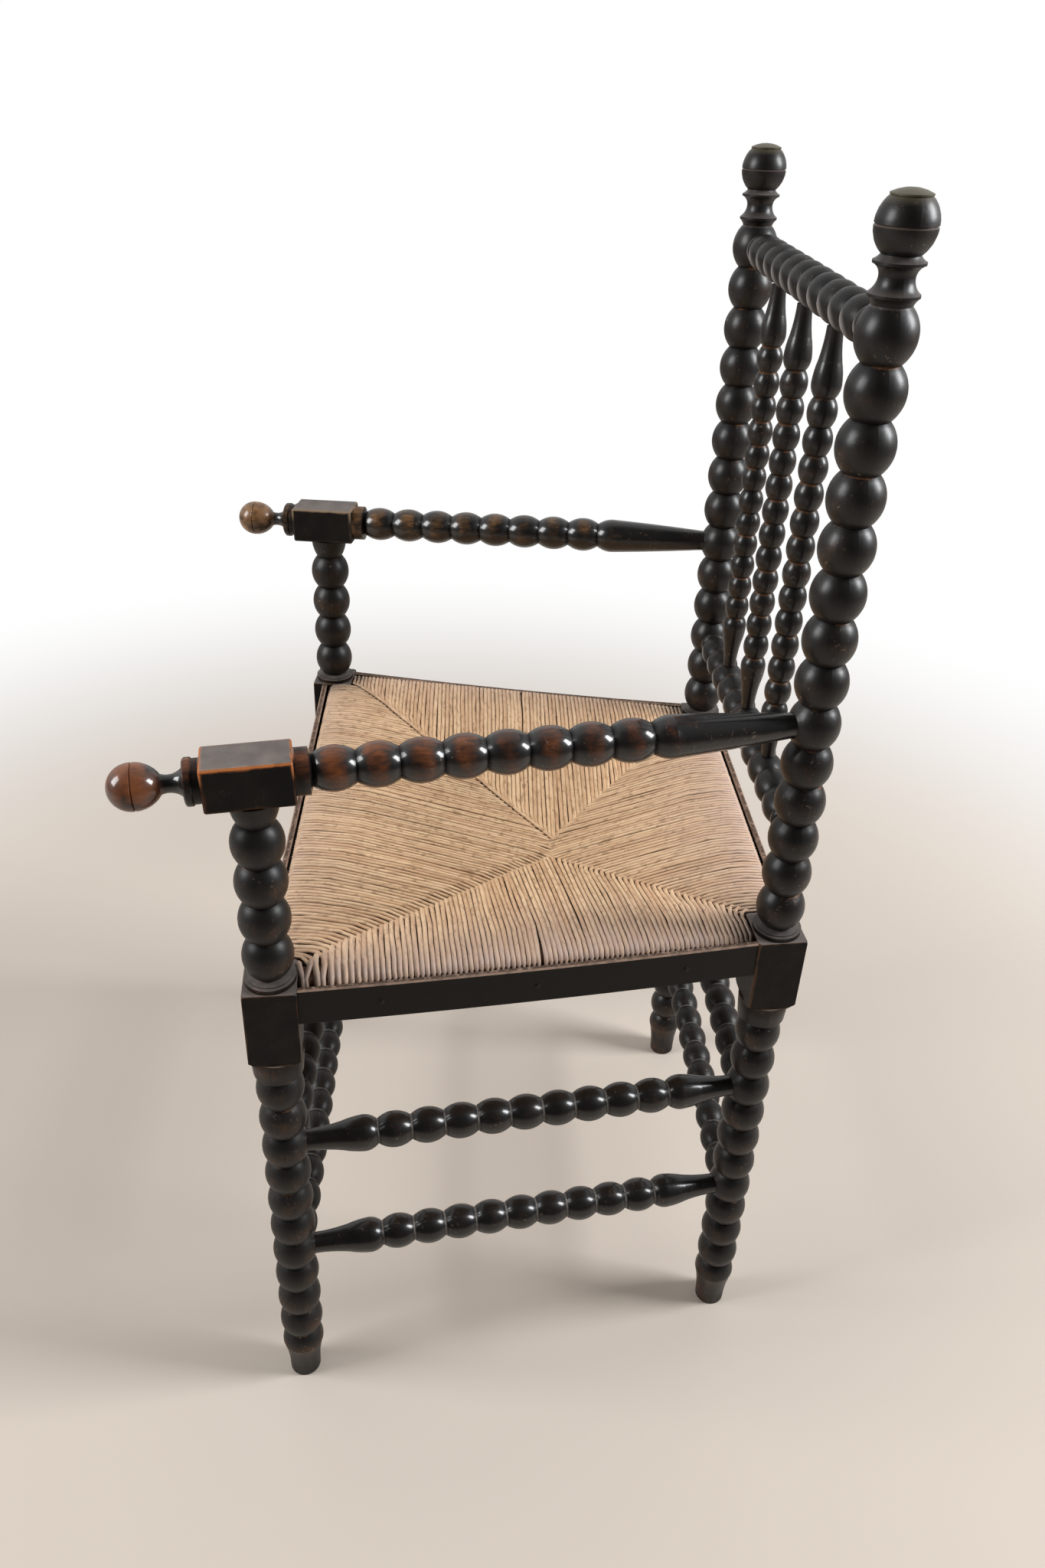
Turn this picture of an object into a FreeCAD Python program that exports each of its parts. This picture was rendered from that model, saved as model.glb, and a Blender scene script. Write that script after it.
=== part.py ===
import FreeCAD, Part
import math
import os

# Bobbin-turned open armchair: turned posts, arms, rails, stretchers and spindles, and a sagging rush seat.
# Millimetres, +Z up. The sitter looks along -Y and +X is the sitter's left hand.
# Plan distances are measured from the front posts' line, and the whole chair is centred at the end.

V = FreeCAD.Vector
UP = V(0, 0, 1)
FULL_TURN = 360.0
least_bend = 0.01

# Plan of the posts
front_half_span = 235.0
rear_foot_half_span = 167.3
rear_foot_setback = 386.4
rear_splay = 12.0
rear_lean = 20.0

# Turned posts
post_bead_diameter = 36.4
post_neck_diameter = 23.4
post_bead_pitch = 31.75
leg_bead_count = 10
rear_upper_bead_count = 14
front_upper_bead_count = 4
foot_height = 57.0
foot_base_diameter = 26.6
foot_stem_diameter = 27.4
foot_stem_height = 14.0
foot_bulge_diameter = 35.6
foot_bulge_height = 42.0
foot_edge_round = 1.2
foot_trim = 0.6
foot_flare_fullness = 0.34
shoulder_height = 23.5
shoulder_low_diameter = 37.4
shoulder_top_diameter = 40.6
shoulder_cove_height = 3.0
collar_height = 6.5
collar_ring_height = 3.6
collar_ring_diameter = 36.8
collar_fillet_diameter = 32.4
collar_fillet_height = 1.2

# Square seat blocks of the posts
block_width = 38.0
block_height = 68.0
block_corner_cut = 3.6
block_low_diameter = 46.0
block_top_ease = 1.5

# Finials of the rear posts
finial_low_ring_height = 6.0
finial_low_cove_height = 8.8
finial_high_cove_height = 6.5
finial_high_ring_height = 4.7
finial_ring_diameter = 29.8
finial_ring_edge = 1.5
finial_ring_fullness = 0.35
finial_cove_fullness = 0.19
finial_waist_diameter = 20.4
finial_ball_height = 29.3
finial_ball_diameter = 35.0
finial_cap_diameter = 22.2
finial_rim_diameter = 23.6
finial_rim_height = 0.9
finial_cap_rise = 2.8

# Cups of the front posts, under the arms
cup_height = 18.5
cup_diameter = 33.2
arm_dowel_diameter = 16.0
arm_dowel_length = 20.0

# Arms
arm_block_width = 32.0
arm_block_length = 57.5
arm_block_forward = 2.0
arm_block_ease = 1.2
arm_rear_bead = 9
arm_bead_diameter = 30.5
arm_neck_diameter = 21.0
arm_bead_pitch = 28.1
arm_collar_length = 11.0
arm_collar_diameter = 31.4
arm_collar_groove = 1.6
arm_taper_bulge_diameter = 30.2
arm_taper_bulge_length = 14.0
arm_taper_length = 94.0
arm_taper_fullness = 0.56
arm_end_diameter = 18.0
arm_ring_length = 10.3
arm_ring_flange = 4.6
arm_ring_step = 1.0
knob_diameter = 31.0
knob_front_length = 16.0
knob_back_length = 15.6
knob_neck_diameter = 11.8
knob_neck_length = 14.2
knob_neck_share = 0.4
knob_neck_flare = 21.0

# Full round curves of the turned work: where their middle lies and how far out it is
swell_share = 0.4
swell_fullness = 0.68

# Vase curves of the stretchers and spindles: a hollow from the thin end that turns into a round swelling
vase_hollow_share = 0.6
vase_hollow_rise = 0.5
vase_hollow_fullness = 0.28
vase_swell_fullness = 0.68

# Fine grooves cut round the knobs and finials
groove_width = 1.4
groove_depth = 0.8

# Beaded rails and stretchers that run across the chair
chain_bead_diameter = 28.0
chain_neck_diameter = 19.0
chain_bead_pitch = 26.7
chain_end_diameter = 16.4
chain_button_diameter = 23.6
chain_button_least = 3.0
chain_tenon_diameter = 13.0
crest_rail_bead = 1
lower_rail_bead = 12
cross_stretcher_beads = (3, 7)

# Side stretchers, beaded in the middle and tapered to both ends
side_bead_diameter = 28.6
side_neck_diameter = 19.4
side_bead_pitch = 26.8
side_taper_length = 53.0
side_bulge_length = 11.0
side_end_diameter = 17.0
side_stretcher_beads = (3, 7)

# Back spindles
spindle_bead_count = 12
spindle_bead_diameter = 20.4
spindle_neck_diameter = 14.0
spindle_top_vase_length = 45.0
spindle_low_vase_length = 47.0
spindle_vase_bulge = 9.0
spindle_end_diameter = 11.0
spindle_tenon_diameter = 8.0
spindle_tenon_length = 8.0
spindle_step_in_beads = 3

# Seat rails, hidden inside the rush
rail_width = 20.0
rail_height = 24.0
rail_drop = 2.0
rail_edge_round = 4.0
rail_tenon_diameter = 10.0
rail_tenon_stagger = 12.0
rail_tenon_length = 14.0

# Rush seat
rush_layer = 4.6
rush_edge_round = 4.0
dish_rim_inset = 20.0
dish_rim_drop = 2.5
dish_depth = 52.0
dish_centre_setback = 216.0
dish_bridge_length = 24.0
rush_middle_thickness = 18.0

# Edging strips nailed round the seat
edging_height = 32.0
edging_thickness = 5.0
edging_round = 1.2
edging_sag = 3.0
edging_reach_front = 11.5
edging_reach_side = 16.5
edging_reach_rear = 15.0
nail_head_diameter = 4.6
nail_head_rise = 1.1
nail_shank_diameter = 1.8
nail_length = 18.0
nail_shares = (0.2, 0.5, 0.8)

# Fits
joint_clearance = 0.3
seating_gap = 0.15
tenon_stop = 5.0

# Heights that follow from the sizes above
leg_top = foot_height + leg_bead_count * post_bead_pitch
block_bottom = leg_top + shoulder_height
block_top = block_bottom + block_height
upper_start = block_top + collar_height
rear_beads_top = upper_start + rear_upper_bead_count * post_bead_pitch
front_beads_top = upper_start + front_upper_bead_count * post_bead_pitch
finial_heights = (
    finial_low_ring_height,
    finial_low_cove_height,
    finial_high_cove_height,
    finial_high_ring_height,
    finial_ball_height,
    finial_rim_height,
    finial_cap_rise,
)
rear_post_height = rear_beads_top + sum(finial_heights)
arm_front_height = front_beads_top + cup_height + arm_block_width / 2
rail_top = block_top - rail_drop
rail_bottom = rail_top - rail_height
edging_bottom = block_top - edging_height
side_names = (("left", 1), ("right", -1))
post_reach = post_bead_diameter / 2 + seating_gap


def upper_bead_height(number):
    """Height of the middle of a rear post's bead, counted down from the finial."""
    return rear_beads_top - (number - 0.5) * post_bead_pitch


def leg_bead_height(number):
    """Height of the middle of a leg bead, counted down from the seat block."""
    return leg_top - (number - 0.5) * post_bead_pitch


def leg_notch_height(number):
    """Height of the notch under a leg bead, counted down from the seat block."""
    return leg_top - number * post_bead_pitch


def front_axis(side, height):
    """Point of a front post's axis at a height."""
    return V(side * front_half_span, 0, height)


def rear_axis(side, height):
    """Point of a leaning rear post's axis at a height."""
    share = height / rear_post_height
    across = rear_foot_half_span + rear_splay * share
    back = rear_foot_setback - rear_lean * share
    return V(side * across, back, height)


def plan_turn(side):
    """Angle of a side of the seat to the straight-ahead line, in degrees."""
    front = front_axis(side, block_top)
    rear = rear_axis(side, block_top)
    return math.degrees(math.atan2(front.x - rear.x, rear.y - front.y))


class Turning:
    """Half outline of a turned piece, drawn along its axis as radius against length."""

    def __init__(self, start, diameter):
        self.edges = []
        self.point = V(0, 0, start)
        self.start = start
        self.line(diameter, 0)

    @property
    def length(self):
        return self.point.z

    def line(self, diameter, rise):
        """Straight run to a diameter, further along by a rise."""
        end = V(diameter / 2, 0, self.point.z + rise)
        if (end - self.point).Length > 0:
            self.edges.append(Part.LineSegment(self.point, end).toShape())
        self.point = end

    def arc(self, middle_diameter, middle_rise, diameter, rise):
        """Round run through a middle point to a diameter, further along by a rise."""
        middle = V(middle_diameter / 2, 0, self.point.z + middle_rise)
        end = V(diameter / 2, 0, self.point.z + rise)
        bend = (middle - self.point).cross(end - self.point).Length
        if bend > least_bend:
            self.edges.append(Part.Arc(self.point, middle, end).toShape())
            self.point = end
        else:
            self.line(diameter, rise)

    def flare(self, diameter, rise, fullness):
        """Long curve whose middle has a share of the change in diameter, counted from the thin end."""
        now = 2 * self.point.x
        thin = min(now, diameter)
        wide = max(now, diameter)
        self.arc(thin + (wide - thin) * fullness, rise / 2, diameter, rise)

    def vase(self, diameter, rise):
        """S-shaped run between two diameters: hollow at the thin end and round at the wide end."""
        now = 2 * self.point.x
        turn = min(now, diameter) + abs(diameter - now) * vase_hollow_rise
        hollow = (rise * vase_hollow_share, vase_hollow_fullness)
        swelling = (rise * (1 - vase_hollow_share), vase_swell_fullness)
        first, second = (hollow, swelling) if diameter > now else (swelling, hollow)
        self.flare(turn, *first)
        self.flare(diameter, *second)

    def swell(self, diameter, rise):
        """Full round curve between a thin and a wide diameter."""
        now = 2 * self.point.x
        thin = min(now, diameter)
        wide = max(now, diameter)
        share = swell_share if diameter > now else 1 - swell_share
        self.arc(thin + (wide - thin) * swell_fullness, rise * share, diameter, rise)

    def dome_open(self, diameter, rise):
        """Part of a sphere that opens from a tip on the axis."""
        radius = (diameter * diameter / 4 + rise * rise) / (2 * rise)
        half_angle = math.atan2(diameter / 2, radius - rise) / 2
        middle = 2 * radius * math.sin(half_angle)
        self.arc(middle, radius - radius * math.cos(half_angle), diameter, rise)

    def dome_close(self, rise):
        """Part of a sphere that closes to a tip on the axis."""
        rim = self.point.x
        radius = (rim * rim + rise * rise) / (2 * rise)
        half_angle = math.atan2(rim, radius - rise) / 2
        middle = 2 * radius * math.sin(half_angle)
        self.arc(middle, rise - radius + radius * math.cos(half_angle), 0, rise)

    def beads(self, count, pitch, bead, neck):
        """Row of equal round beads that ends on a neck."""
        for _ in range(count):
            self.arc(bead, pitch / 2, neck, pitch)

    def groove(self):
        """Fine V groove across a round that is already as wide as the point."""
        width = 2 * self.point.x
        self.line(width - 2 * groove_depth, groove_width / 2)
        self.line(width, groove_width / 2)

    def solid(self):
        """Solid of revolution of the outline."""
        foot = V(0, 0, self.start)
        tip = V(0, 0, self.point.z)
        if self.point.x > 0:
            self.edges.append(Part.LineSegment(self.point, tip).toShape())
        self.edges.append(Part.LineSegment(tip, foot).toShape())
        face = Part.Face(Part.Wire(self.edges))
        return face.revolve(V(0, 0, 0), UP, FULL_TURN)


def laid(shape, start, end):
    """Copy of a piece drawn along Z, laid from one point towards another with its top side up."""
    along = (end - start).normalize()
    turn = FreeCAD.Rotation(V(), UP, along, "ZYX")
    return placed(shape, start, turn)


def placed(shape, at, turn):
    """Copy of a shape turned about the origin and moved to a point."""
    copy = shape.copy()
    copy.Placement = FreeCAD.Placement(at, turn)
    return copy


def bore(at, towards, diameter, stop):
    """Cutter for a tenon hole that opens outward from near a post's axis."""
    along = (towards - at).normalize()
    start = at + along * (stop - joint_clearance)
    return Part.makeCylinder(diameter / 2 + joint_clearance, post_bead_diameter, start, along)


def block_box(width, height):
    """Upright square bar about a post's axis that starts where its seat block starts."""
    return Part.makeBox(width, width, height, V(-width / 2, -width / 2, block_bottom))


def seat_block():
    """Square block whose lower corners are turned away and whose top corners are eased."""
    corner = block_width / math.sqrt(2)
    envelope = Turning(block_bottom, block_low_diameter)
    envelope.line(2 * corner, block_corner_cut)
    envelope.line(2 * corner, block_height - block_corner_cut - block_top_ease)
    envelope.line(2 * (corner - block_top_ease), block_top_ease)
    return block_box(block_width, block_height).common(envelope.solid())


def leg(outline):
    """Foot, beads and shoulder of a leg, up to the seat block."""
    outline.line(foot_base_diameter, foot_edge_round)
    outline.line(foot_stem_diameter, foot_stem_height - outline.length)
    outline.flare(foot_bulge_diameter, foot_bulge_height - foot_stem_height, foot_flare_fullness)
    outline.swell(post_neck_diameter, foot_height - foot_bulge_height)
    outline.beads(leg_bead_count, post_bead_pitch, post_bead_diameter, post_neck_diameter)
    outline.line(shoulder_low_diameter, shoulder_cove_height)
    outline.line(shoulder_top_diameter, shoulder_height - shoulder_cove_height)


def collar(outline):
    """Ring and fillet between a seat block and the beads above it."""
    outline.line(collar_ring_diameter, collar_ring_height)
    outline.line(collar_fillet_diameter, collar_fillet_height / 2)
    outline.line(collar_fillet_diameter, collar_fillet_height / 2)
    outline.line(post_neck_diameter, collar_height - collar_ring_height - collar_fillet_height)


def finial(outline):
    """Two sharp rings joined by a waisted cove, a grooved ball and a low domed cap with a thin rim."""
    edge = finial_ring_edge
    outline.flare(finial_ring_diameter, finial_low_ring_height - edge, finial_ring_fullness)
    outline.line(finial_ring_diameter, edge)
    outline.flare(finial_waist_diameter, finial_low_cove_height, finial_cove_fullness)
    outline.flare(finial_ring_diameter, finial_high_cove_height, finial_cove_fullness)
    outline.line(finial_ring_diameter, edge)
    outline.flare(finial_cap_diameter, finial_high_ring_height - edge, finial_ring_fullness)
    half = (finial_ball_height - groove_width) / 2
    outline.swell(finial_ball_diameter, half)
    outline.groove()
    outline.swell(finial_cap_diameter, half)
    outline.line(finial_rim_diameter, 0)
    outline.line(finial_rim_diameter, finial_rim_height)
    outline.dome_close(finial_cap_rise)


def turned_blank(upper):
    """Whole post about the Z axis: leg, square seat block, collar and what stands above it."""
    outline = Turning(-foot_trim, foot_base_diameter - 2 * foot_edge_round)
    leg(outline)
    top = Turning(block_top, collar_ring_diameter)
    collar(top)
    upper(top)
    return outline.solid().fuse([seat_block(), top.solid()]).removeSplitter()


def rear_upper(outline):
    """Beads and finial of a rear post."""
    outline.beads(rear_upper_bead_count, post_bead_pitch, post_bead_diameter, post_neck_diameter)
    finial(outline)


def front_upper(outline):
    """Beads and cup of a front post, long enough to be cut to the arm's underside."""
    outline.beads(front_upper_bead_count, post_bead_pitch, post_bead_diameter, post_neck_diameter)
    outline.swell(cup_diameter, cup_height)
    outline.line(cup_diameter, cup_height / 2)


def block_cutter(side, is_rear):
    """Room for a placed post's seat block and the collar on it, with the seating gap."""
    room = block_box(block_width + 2 * seating_gap, block_height + collar_height)
    return rear_placed(room, side) if is_rear else front_placed(room, side)


def front_placed(shape, side):
    """A front post's piece at its place, turned half way to the side of the seat."""
    turn = FreeCAD.Rotation(UP, plan_turn(side) / 2)
    return placed(shape, front_axis(side, 0), turn)


def rear_placed(shape, side):
    """A rear post's piece at its place, leaning with its post."""
    foot = rear_axis(side, 0)
    along = (rear_axis(side, rear_post_height) - foot).normalize()
    lean = FreeCAD.Rotation(UP, along)
    turn = FreeCAD.Rotation(UP, plan_turn(side) / 2)
    return placed(shape, foot, lean.multiply(turn))


def arm_ends(side):
    """Points where an arm's axis crosses the axes of its two posts."""
    return front_axis(side, arm_front_height), rear_axis(side, upper_bead_height(arm_rear_bead))


def side_ends(side, number):
    """Points where a side stretcher's axis crosses the axes of its two posts."""
    height = leg_bead_height(number)
    return front_axis(side, height), rear_axis(side, height)


def across(axis, height):
    """Ends on the two axes of a piece that runs from the right to the left at one height."""
    return axis(-1, height), axis(1, height)


class RailLine:
    """Line of one seat rail: its ends on the post axes, the way outward and its edging's reach."""

    def __init__(self, start, end, reach, tenon_height):
        self.along = (end - start).normalize()
        self.outward = self.along.cross(UP)
        self.length = (end - start).Length
        self.reach = reach
        self.rush_reach = reach - edging_thickness - joint_clearance
        self.rail_reach = self.rush_reach - rush_layer - joint_clearance
        self.start = V(start.x, start.y, 0)
        self.tenon_height = tenon_height

    def at(self, run, outward, height):
        """Point along the line, outward of it and at a height."""
        return self.start + self.along * run + self.outward * outward + UP * height

    def bar(self, first, last, inner, outer, bottom, top):
        """Upright bar along the line between two runs, two distances outward and two heights."""
        ends = ((first, inner), (last, inner), (last, outer), (first, outer))
        corners = [self.at(run, outward, bottom) for run, outward in ends]
        face = Part.Face(Part.makePolygon(corners + corners[:1]))
        return face.extrude(UP * (top - bottom))

    def tenon_line(self):
        """Points on the rail's middle line beside its two posts, at the tenons' height."""
        middle = self.rail_reach - rail_width / 2
        return self.at(0, middle, self.tenon_height), self.at(self.length, middle, self.tenon_height)


def rail_lines():
    """The four seat rails, each run so that outward points away from the seat."""
    high = rail_bottom + rail_height / 2 + rail_tenon_stagger / 2
    low = high - rail_tenon_stagger
    front = [front_axis(side, block_top) for side in (1, -1)]
    rear = [rear_axis(side, block_top) for side in (1, -1)]
    return {
        "front": RailLine(front[1], front[0], edging_reach_front, high),
        "left": RailLine(front[0], rear[0], edging_reach_side, low),
        "rear": RailLine(rear[0], rear[1], edging_reach_rear, high),
        "right": RailLine(rear[1], front[1], edging_reach_side, low),
    }


def all_block_cutters():
    """Room for the seat blocks of the four placed posts."""
    return [block_cutter(side, is_rear) for side in (1, -1) for is_rear in (False, True)]


def seat_rail(line):
    """Rounded bar between two seat blocks, with a round tenon into each."""
    inner = line.rail_reach - rail_width
    shoulder = block_width / 2 + seating_gap
    bar = line.bar(shoulder, line.length - shoulder, inner, line.rail_reach, rail_bottom, rail_top)
    long_edges = [edge for edge in bar.Edges if edge.Length > line.length / 2]
    bar = bar.makeFillet(rail_edge_round, long_edges).cut(all_block_cutters())
    first, last = line.tenon_line()
    inset = block_width / 2 - rail_tenon_length
    start = first + line.along * inset
    tenon = Part.makeCylinder(rail_tenon_diameter / 2, line.length - 2 * inset, start, line.along)
    return bar.fuse(tenon).removeSplitter()


def rail_bores(line):
    """Cutters for the holes of a seat rail's two tenons."""
    first, last = line.tenon_line()
    inset = block_width / 2 - rail_tenon_length
    return bore(first, last, rail_tenon_diameter, inset), bore(last, first, rail_tenon_diameter, inset)


def chain(start, end, end_bores):
    """Row of beads between two post axes with a button and a tenon at each end, less some bores."""
    span = (end - start).Length
    room = span - 2 * post_reach
    count = int((room - 2 * chain_button_least) / chain_bead_pitch)
    end_length = (room - count * chain_bead_pitch) / 2
    outline = Turning(tenon_stop, chain_tenon_diameter)
    outline.line(chain_tenon_diameter, post_reach - tenon_stop)
    outline.line(chain_end_diameter, 0)
    outline.arc(chain_button_diameter, end_length / 2, chain_neck_diameter, end_length)
    outline.beads(count, chain_bead_pitch, chain_bead_diameter, chain_neck_diameter)
    outline.arc(chain_button_diameter, end_length / 2, chain_end_diameter, end_length)
    outline.line(chain_tenon_diameter, 0)
    outline.line(chain_tenon_diameter, post_reach - tenon_stop)
    piece = laid(outline.solid(), start, end)
    return piece.cut(end_bores) if end_bores else piece


def vase_out(outline, bulge, neck, length, bulge_length):
    """Thin end that swells out to a bulge and closes on a neck."""
    outline.vase(bulge, length - bulge_length)
    outline.swell(neck, bulge_length)


def vase_in(outline, end, bulge, length, bulge_length):
    """Bulge that opens from a neck and thins away to an end."""
    outline.swell(bulge, bulge_length)
    outline.vase(end, length - bulge_length)


def side_stretcher(start, end):
    """Beads in the middle, tapered at both ends, with the ends running on as tenons."""
    span = (end - start).Length
    room = span - 2 * post_reach
    count = int((room - 2 * side_taper_length) / side_bead_pitch)
    taper = (room - count * side_bead_pitch) / 2
    outline = Turning(tenon_stop, side_end_diameter)
    outline.line(side_end_diameter, post_reach - tenon_stop)
    vase_out(outline, side_bead_diameter, side_neck_diameter, taper, side_bulge_length)
    outline.beads(count, side_bead_pitch, side_bead_diameter, side_neck_diameter)
    vase_in(outline, side_end_diameter, side_bead_diameter, taper, side_bulge_length)
    outline.line(side_end_diameter, post_reach - tenon_stop)
    return laid(outline.solid(), start, end)


def arm(side):
    """Knob, ring, square block, collar, beads and a long taper that runs on as a tenon."""
    start, end = arm_ends(side)
    span = (end - start).Length
    block_start = -arm_block_length / 2 - arm_block_forward
    knob_length = knob_front_length + groove_width + knob_back_length + knob_neck_length
    outline = Turning(block_start - arm_ring_length - knob_length, 0)
    knob(outline)
    ring_diameter = arm_collar_diameter - 2 * arm_ring_step
    outline.line(ring_diameter, 0)
    outline.line(arm_collar_diameter, arm_ring_step)
    outline.line(arm_collar_diameter, arm_ring_flange - arm_ring_step)
    outline.line(ring_diameter, arm_ring_step)
    outline.line(ring_diameter, arm_ring_length - arm_ring_flange - arm_ring_step)
    outline.line(arm_collar_diameter, 0)
    outline.line(arm_collar_diameter, arm_block_length + arm_collar_length - arm_collar_groove)
    outline.line(arm_neck_diameter, arm_collar_groove)
    room = span - post_reach - outline.length
    count = int((room - arm_taper_length) / arm_bead_pitch)
    outline.beads(count, arm_bead_pitch, arm_bead_diameter, arm_neck_diameter)
    taper = room - count * arm_bead_pitch
    outline.swell(arm_taper_bulge_diameter, arm_taper_bulge_length)
    outline.flare(arm_end_diameter, taper - arm_taper_bulge_length, arm_taper_fullness)
    outline.line(arm_end_diameter, post_reach - tenon_stop)
    corner = V(-arm_block_width / 2, -arm_block_width / 2, block_start)
    block = Part.makeBox(arm_block_width, arm_block_width, arm_block_length, corner)
    block = block.makeChamfer(arm_block_ease, block.Edges)
    piece = laid(outline.solid().fuse(block).removeSplitter(), start, end)
    return piece.cut(arm_dowel(side, joint_clearance))


def knob(outline):
    """Grooved ball at the front of an arm and the waisted neck behind it."""
    outline.dome_open(knob_diameter, knob_front_length)
    outline.groove()
    outline.swell(knob_neck_diameter + 2 * groove_depth, knob_back_length)
    outline.arc(knob_neck_diameter, knob_neck_length * knob_neck_share, knob_neck_flare, knob_neck_length)


def arm_dowel(side, grow):
    """Upright round tenon of a front post in its arm block, grown by a margin."""
    start = front_axis(side, front_beads_top + cup_height / 2)
    length = cup_height / 2 + arm_dowel_length + grow
    return Part.makeCylinder(arm_dowel_diameter / 2 + grow, length, start, UP)


def arm_underside(side):
    """Cutter that trims a front post's cup to the underside of its arm."""
    start, end = arm_ends(side)
    size = 2 * block_width
    low = -arm_block_width / 2 - seating_gap
    box = Part.makeBox(size, size, size, V(-size / 2, low, -size / 2))
    return laid(box, start, end)


def spindle_places():
    """Distances across the chair of the back spindles, each at the middle of a rail bead."""
    step = spindle_step_in_beads * chain_bead_pitch
    return (("left", step), ("centre", 0.0), ("right", -step))


def spindle_ends(place):
    """Ends of a spindle on the axes of the lower back rail and the crest rail."""
    low = upper_bead_height(lower_rail_bead)
    high = upper_bead_height(crest_rail_bead)
    return V(place, rear_axis(1, low).y, low), V(place, rear_axis(1, high).y, high)


def spindle(place):
    """Beads between a short vase below and a long vase above, with a tenon at each end."""
    start, end = spindle_ends(place)
    reach = chain_bead_diameter / 2 + seating_gap
    room = (end - start).Length - 2 * reach
    pitch = (room - spindle_top_vase_length - spindle_low_vase_length) / spindle_bead_count
    outline = Turning(reach - spindle_tenon_length, spindle_tenon_diameter)
    outline.line(spindle_tenon_diameter, spindle_tenon_length)
    outline.line(spindle_end_diameter, 0)
    vase_out(outline, spindle_bead_diameter, spindle_neck_diameter, spindle_low_vase_length,
             spindle_vase_bulge)
    outline.beads(spindle_bead_count, pitch, spindle_bead_diameter, spindle_neck_diameter)
    vase_in(outline, spindle_end_diameter, spindle_bead_diameter, spindle_top_vase_length,
            spindle_vase_bulge)
    outline.line(spindle_tenon_diameter, 0)
    outline.line(spindle_tenon_diameter, spindle_tenon_length)
    return laid(outline.solid(), start, end)


def spindle_bores(is_crest):
    """Cutters for the spindle holes of the crest rail or of the lower back rail."""
    stop = chain_bead_diameter / 2 + seating_gap - spindle_tenon_length
    ends = [spindle_ends(place) for _, place in spindle_places()]
    if is_crest:
        return [bore(end, start, spindle_tenon_diameter, stop) for start, end in ends]
    return [bore(start, end, spindle_tenon_diameter, stop) for start, end in ends]


def meeting(first, first_out, second, second_out, height):
    """Corner where lines outward of two rail lines meet, at a height."""
    a = first.at(0, first_out, height)
    b = second.at(0, second_out, height)
    gap = b - a
    cross = first.along.x * second.along.y - first.along.y * second.along.x
    run = (gap.x * second.along.y - gap.y * second.along.x) / cross
    return a + first.along * run


def seat_outline(lines, inset, height):
    """Corners of the rush outline, drawn in by an inset, at a height."""
    order = [lines[name] for name in ("front", "left", "rear", "right")]
    corners = []
    for index, line in enumerate(order):
        before = order[index - 1]
        out = (before.rush_reach - inset, line.rush_reach - inset)
        corners.append(meeting(before, out[0], line, out[1], height))
    return corners


def hip_hollow(lines, rim_height, floor_height):
    """Four sloping panels from the rim of the rush down to a short bridge, closed flat across the rim."""
    rim = seat_outline(lines, dish_rim_inset, rim_height)
    right_front, left_front, left_rear, right_rear = rim
    bridge_left = V(dish_bridge_length / 2, dish_centre_setback, floor_height)
    bridge_right = V(-dish_bridge_length / 2, dish_centre_setback, floor_height)
    loops = (
        (right_front, left_front, bridge_left, bridge_right),
        (left_front, left_rear, bridge_left),
        (left_rear, right_rear, bridge_right, bridge_left),
        (right_rear, right_front, bridge_right),
        (right_front, right_rear, left_rear, left_front),
    )
    faces = [Part.Face(Part.makePolygon(list(loop) + [loop[0]])) for loop in loops]
    return Part.makeSolid(Part.makeShell(faces))


def rush_seat(lines):
    """Rush body with rounded edges, a sagging four-panel top and underside, and the rails inside it."""
    top = rail_top + rush_layer + joint_clearance
    bottom = rail_bottom - rush_layer - joint_clearance
    corners = seat_outline(lines, 0, bottom)
    slab = Part.Face(Part.makePolygon(corners + corners[:1])).extrude(UP * (top - bottom))
    flat_edges = [edge for edge in slab.Edges if edge.BoundBox.ZLength < rush_edge_round]
    slab = slab.makeFillet(rush_edge_round, flat_edges)
    rim = top - dish_rim_drop
    floor = top - dish_depth
    rim_corners = seat_outline(lines, dish_rim_inset, rim)
    above = Part.Face(Part.makePolygon(rim_corners + rim_corners[:1])).extrude(UP * dish_depth)
    belly = hip_hollow(lines, bottom, floor - rush_middle_thickness)
    body = slab.fuse(belly).cut([hip_hollow(lines, rim, floor), above]).removeSplitter()
    tunnels = []
    for line in lines.values():
        outer = line.rail_reach + joint_clearance
        inner = line.rail_reach - rail_width - joint_clearance
        tunnels.append(line.bar(0, line.length, inner, outer,
                                rail_bottom - joint_clearance, rail_top + joint_clearance))
    return body.cut(tunnels).cut(all_block_cutters())


def sag_drop(share):
    """How far an edging strip has sagged at a share of its rail line."""
    return edging_sag * (1 - (2 * share - 1) ** 2)


def edging(line):
    """Thin board with eased edges outside the rush along one rail, sagging between two seat blocks."""
    half = line.length / 2
    bow_radius = (half ** 2 + edging_sag ** 2) / (2 * edging_sag)
    half_angle = math.degrees(math.asin(half / bow_radius))
    ease = edging_round
    outer = line.reach
    inner = outer - edging_thickness
    top = block_top - edging_sag
    bottom = edging_bottom - edging_sag
    section = (
        (inner + ease, top), (outer - ease, top), (outer, top - ease), (outer, bottom + ease),
        (outer - ease, bottom), (inner + ease, bottom), (inner, bottom + ease), (inner, top - ease),
    )
    corners = [line.at(half, outward, height) for outward, height in section]
    face = Part.Face(Part.makePolygon(corners + corners[:1]))
    hub = line.at(half, 0, top + bow_radius)
    face.rotate(hub, line.outward, -half_angle)
    return face.revolve(hub, line.outward, 2 * half_angle).cut(all_block_cutters())


def nail_line(line, share):
    """Point of a nail on the outside of an edging strip and the way it is driven."""
    height = (edging_bottom + block_top) / 2 - sag_drop(share)
    return line.at(line.length * share, line.reach, height), line.outward * -1


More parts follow.
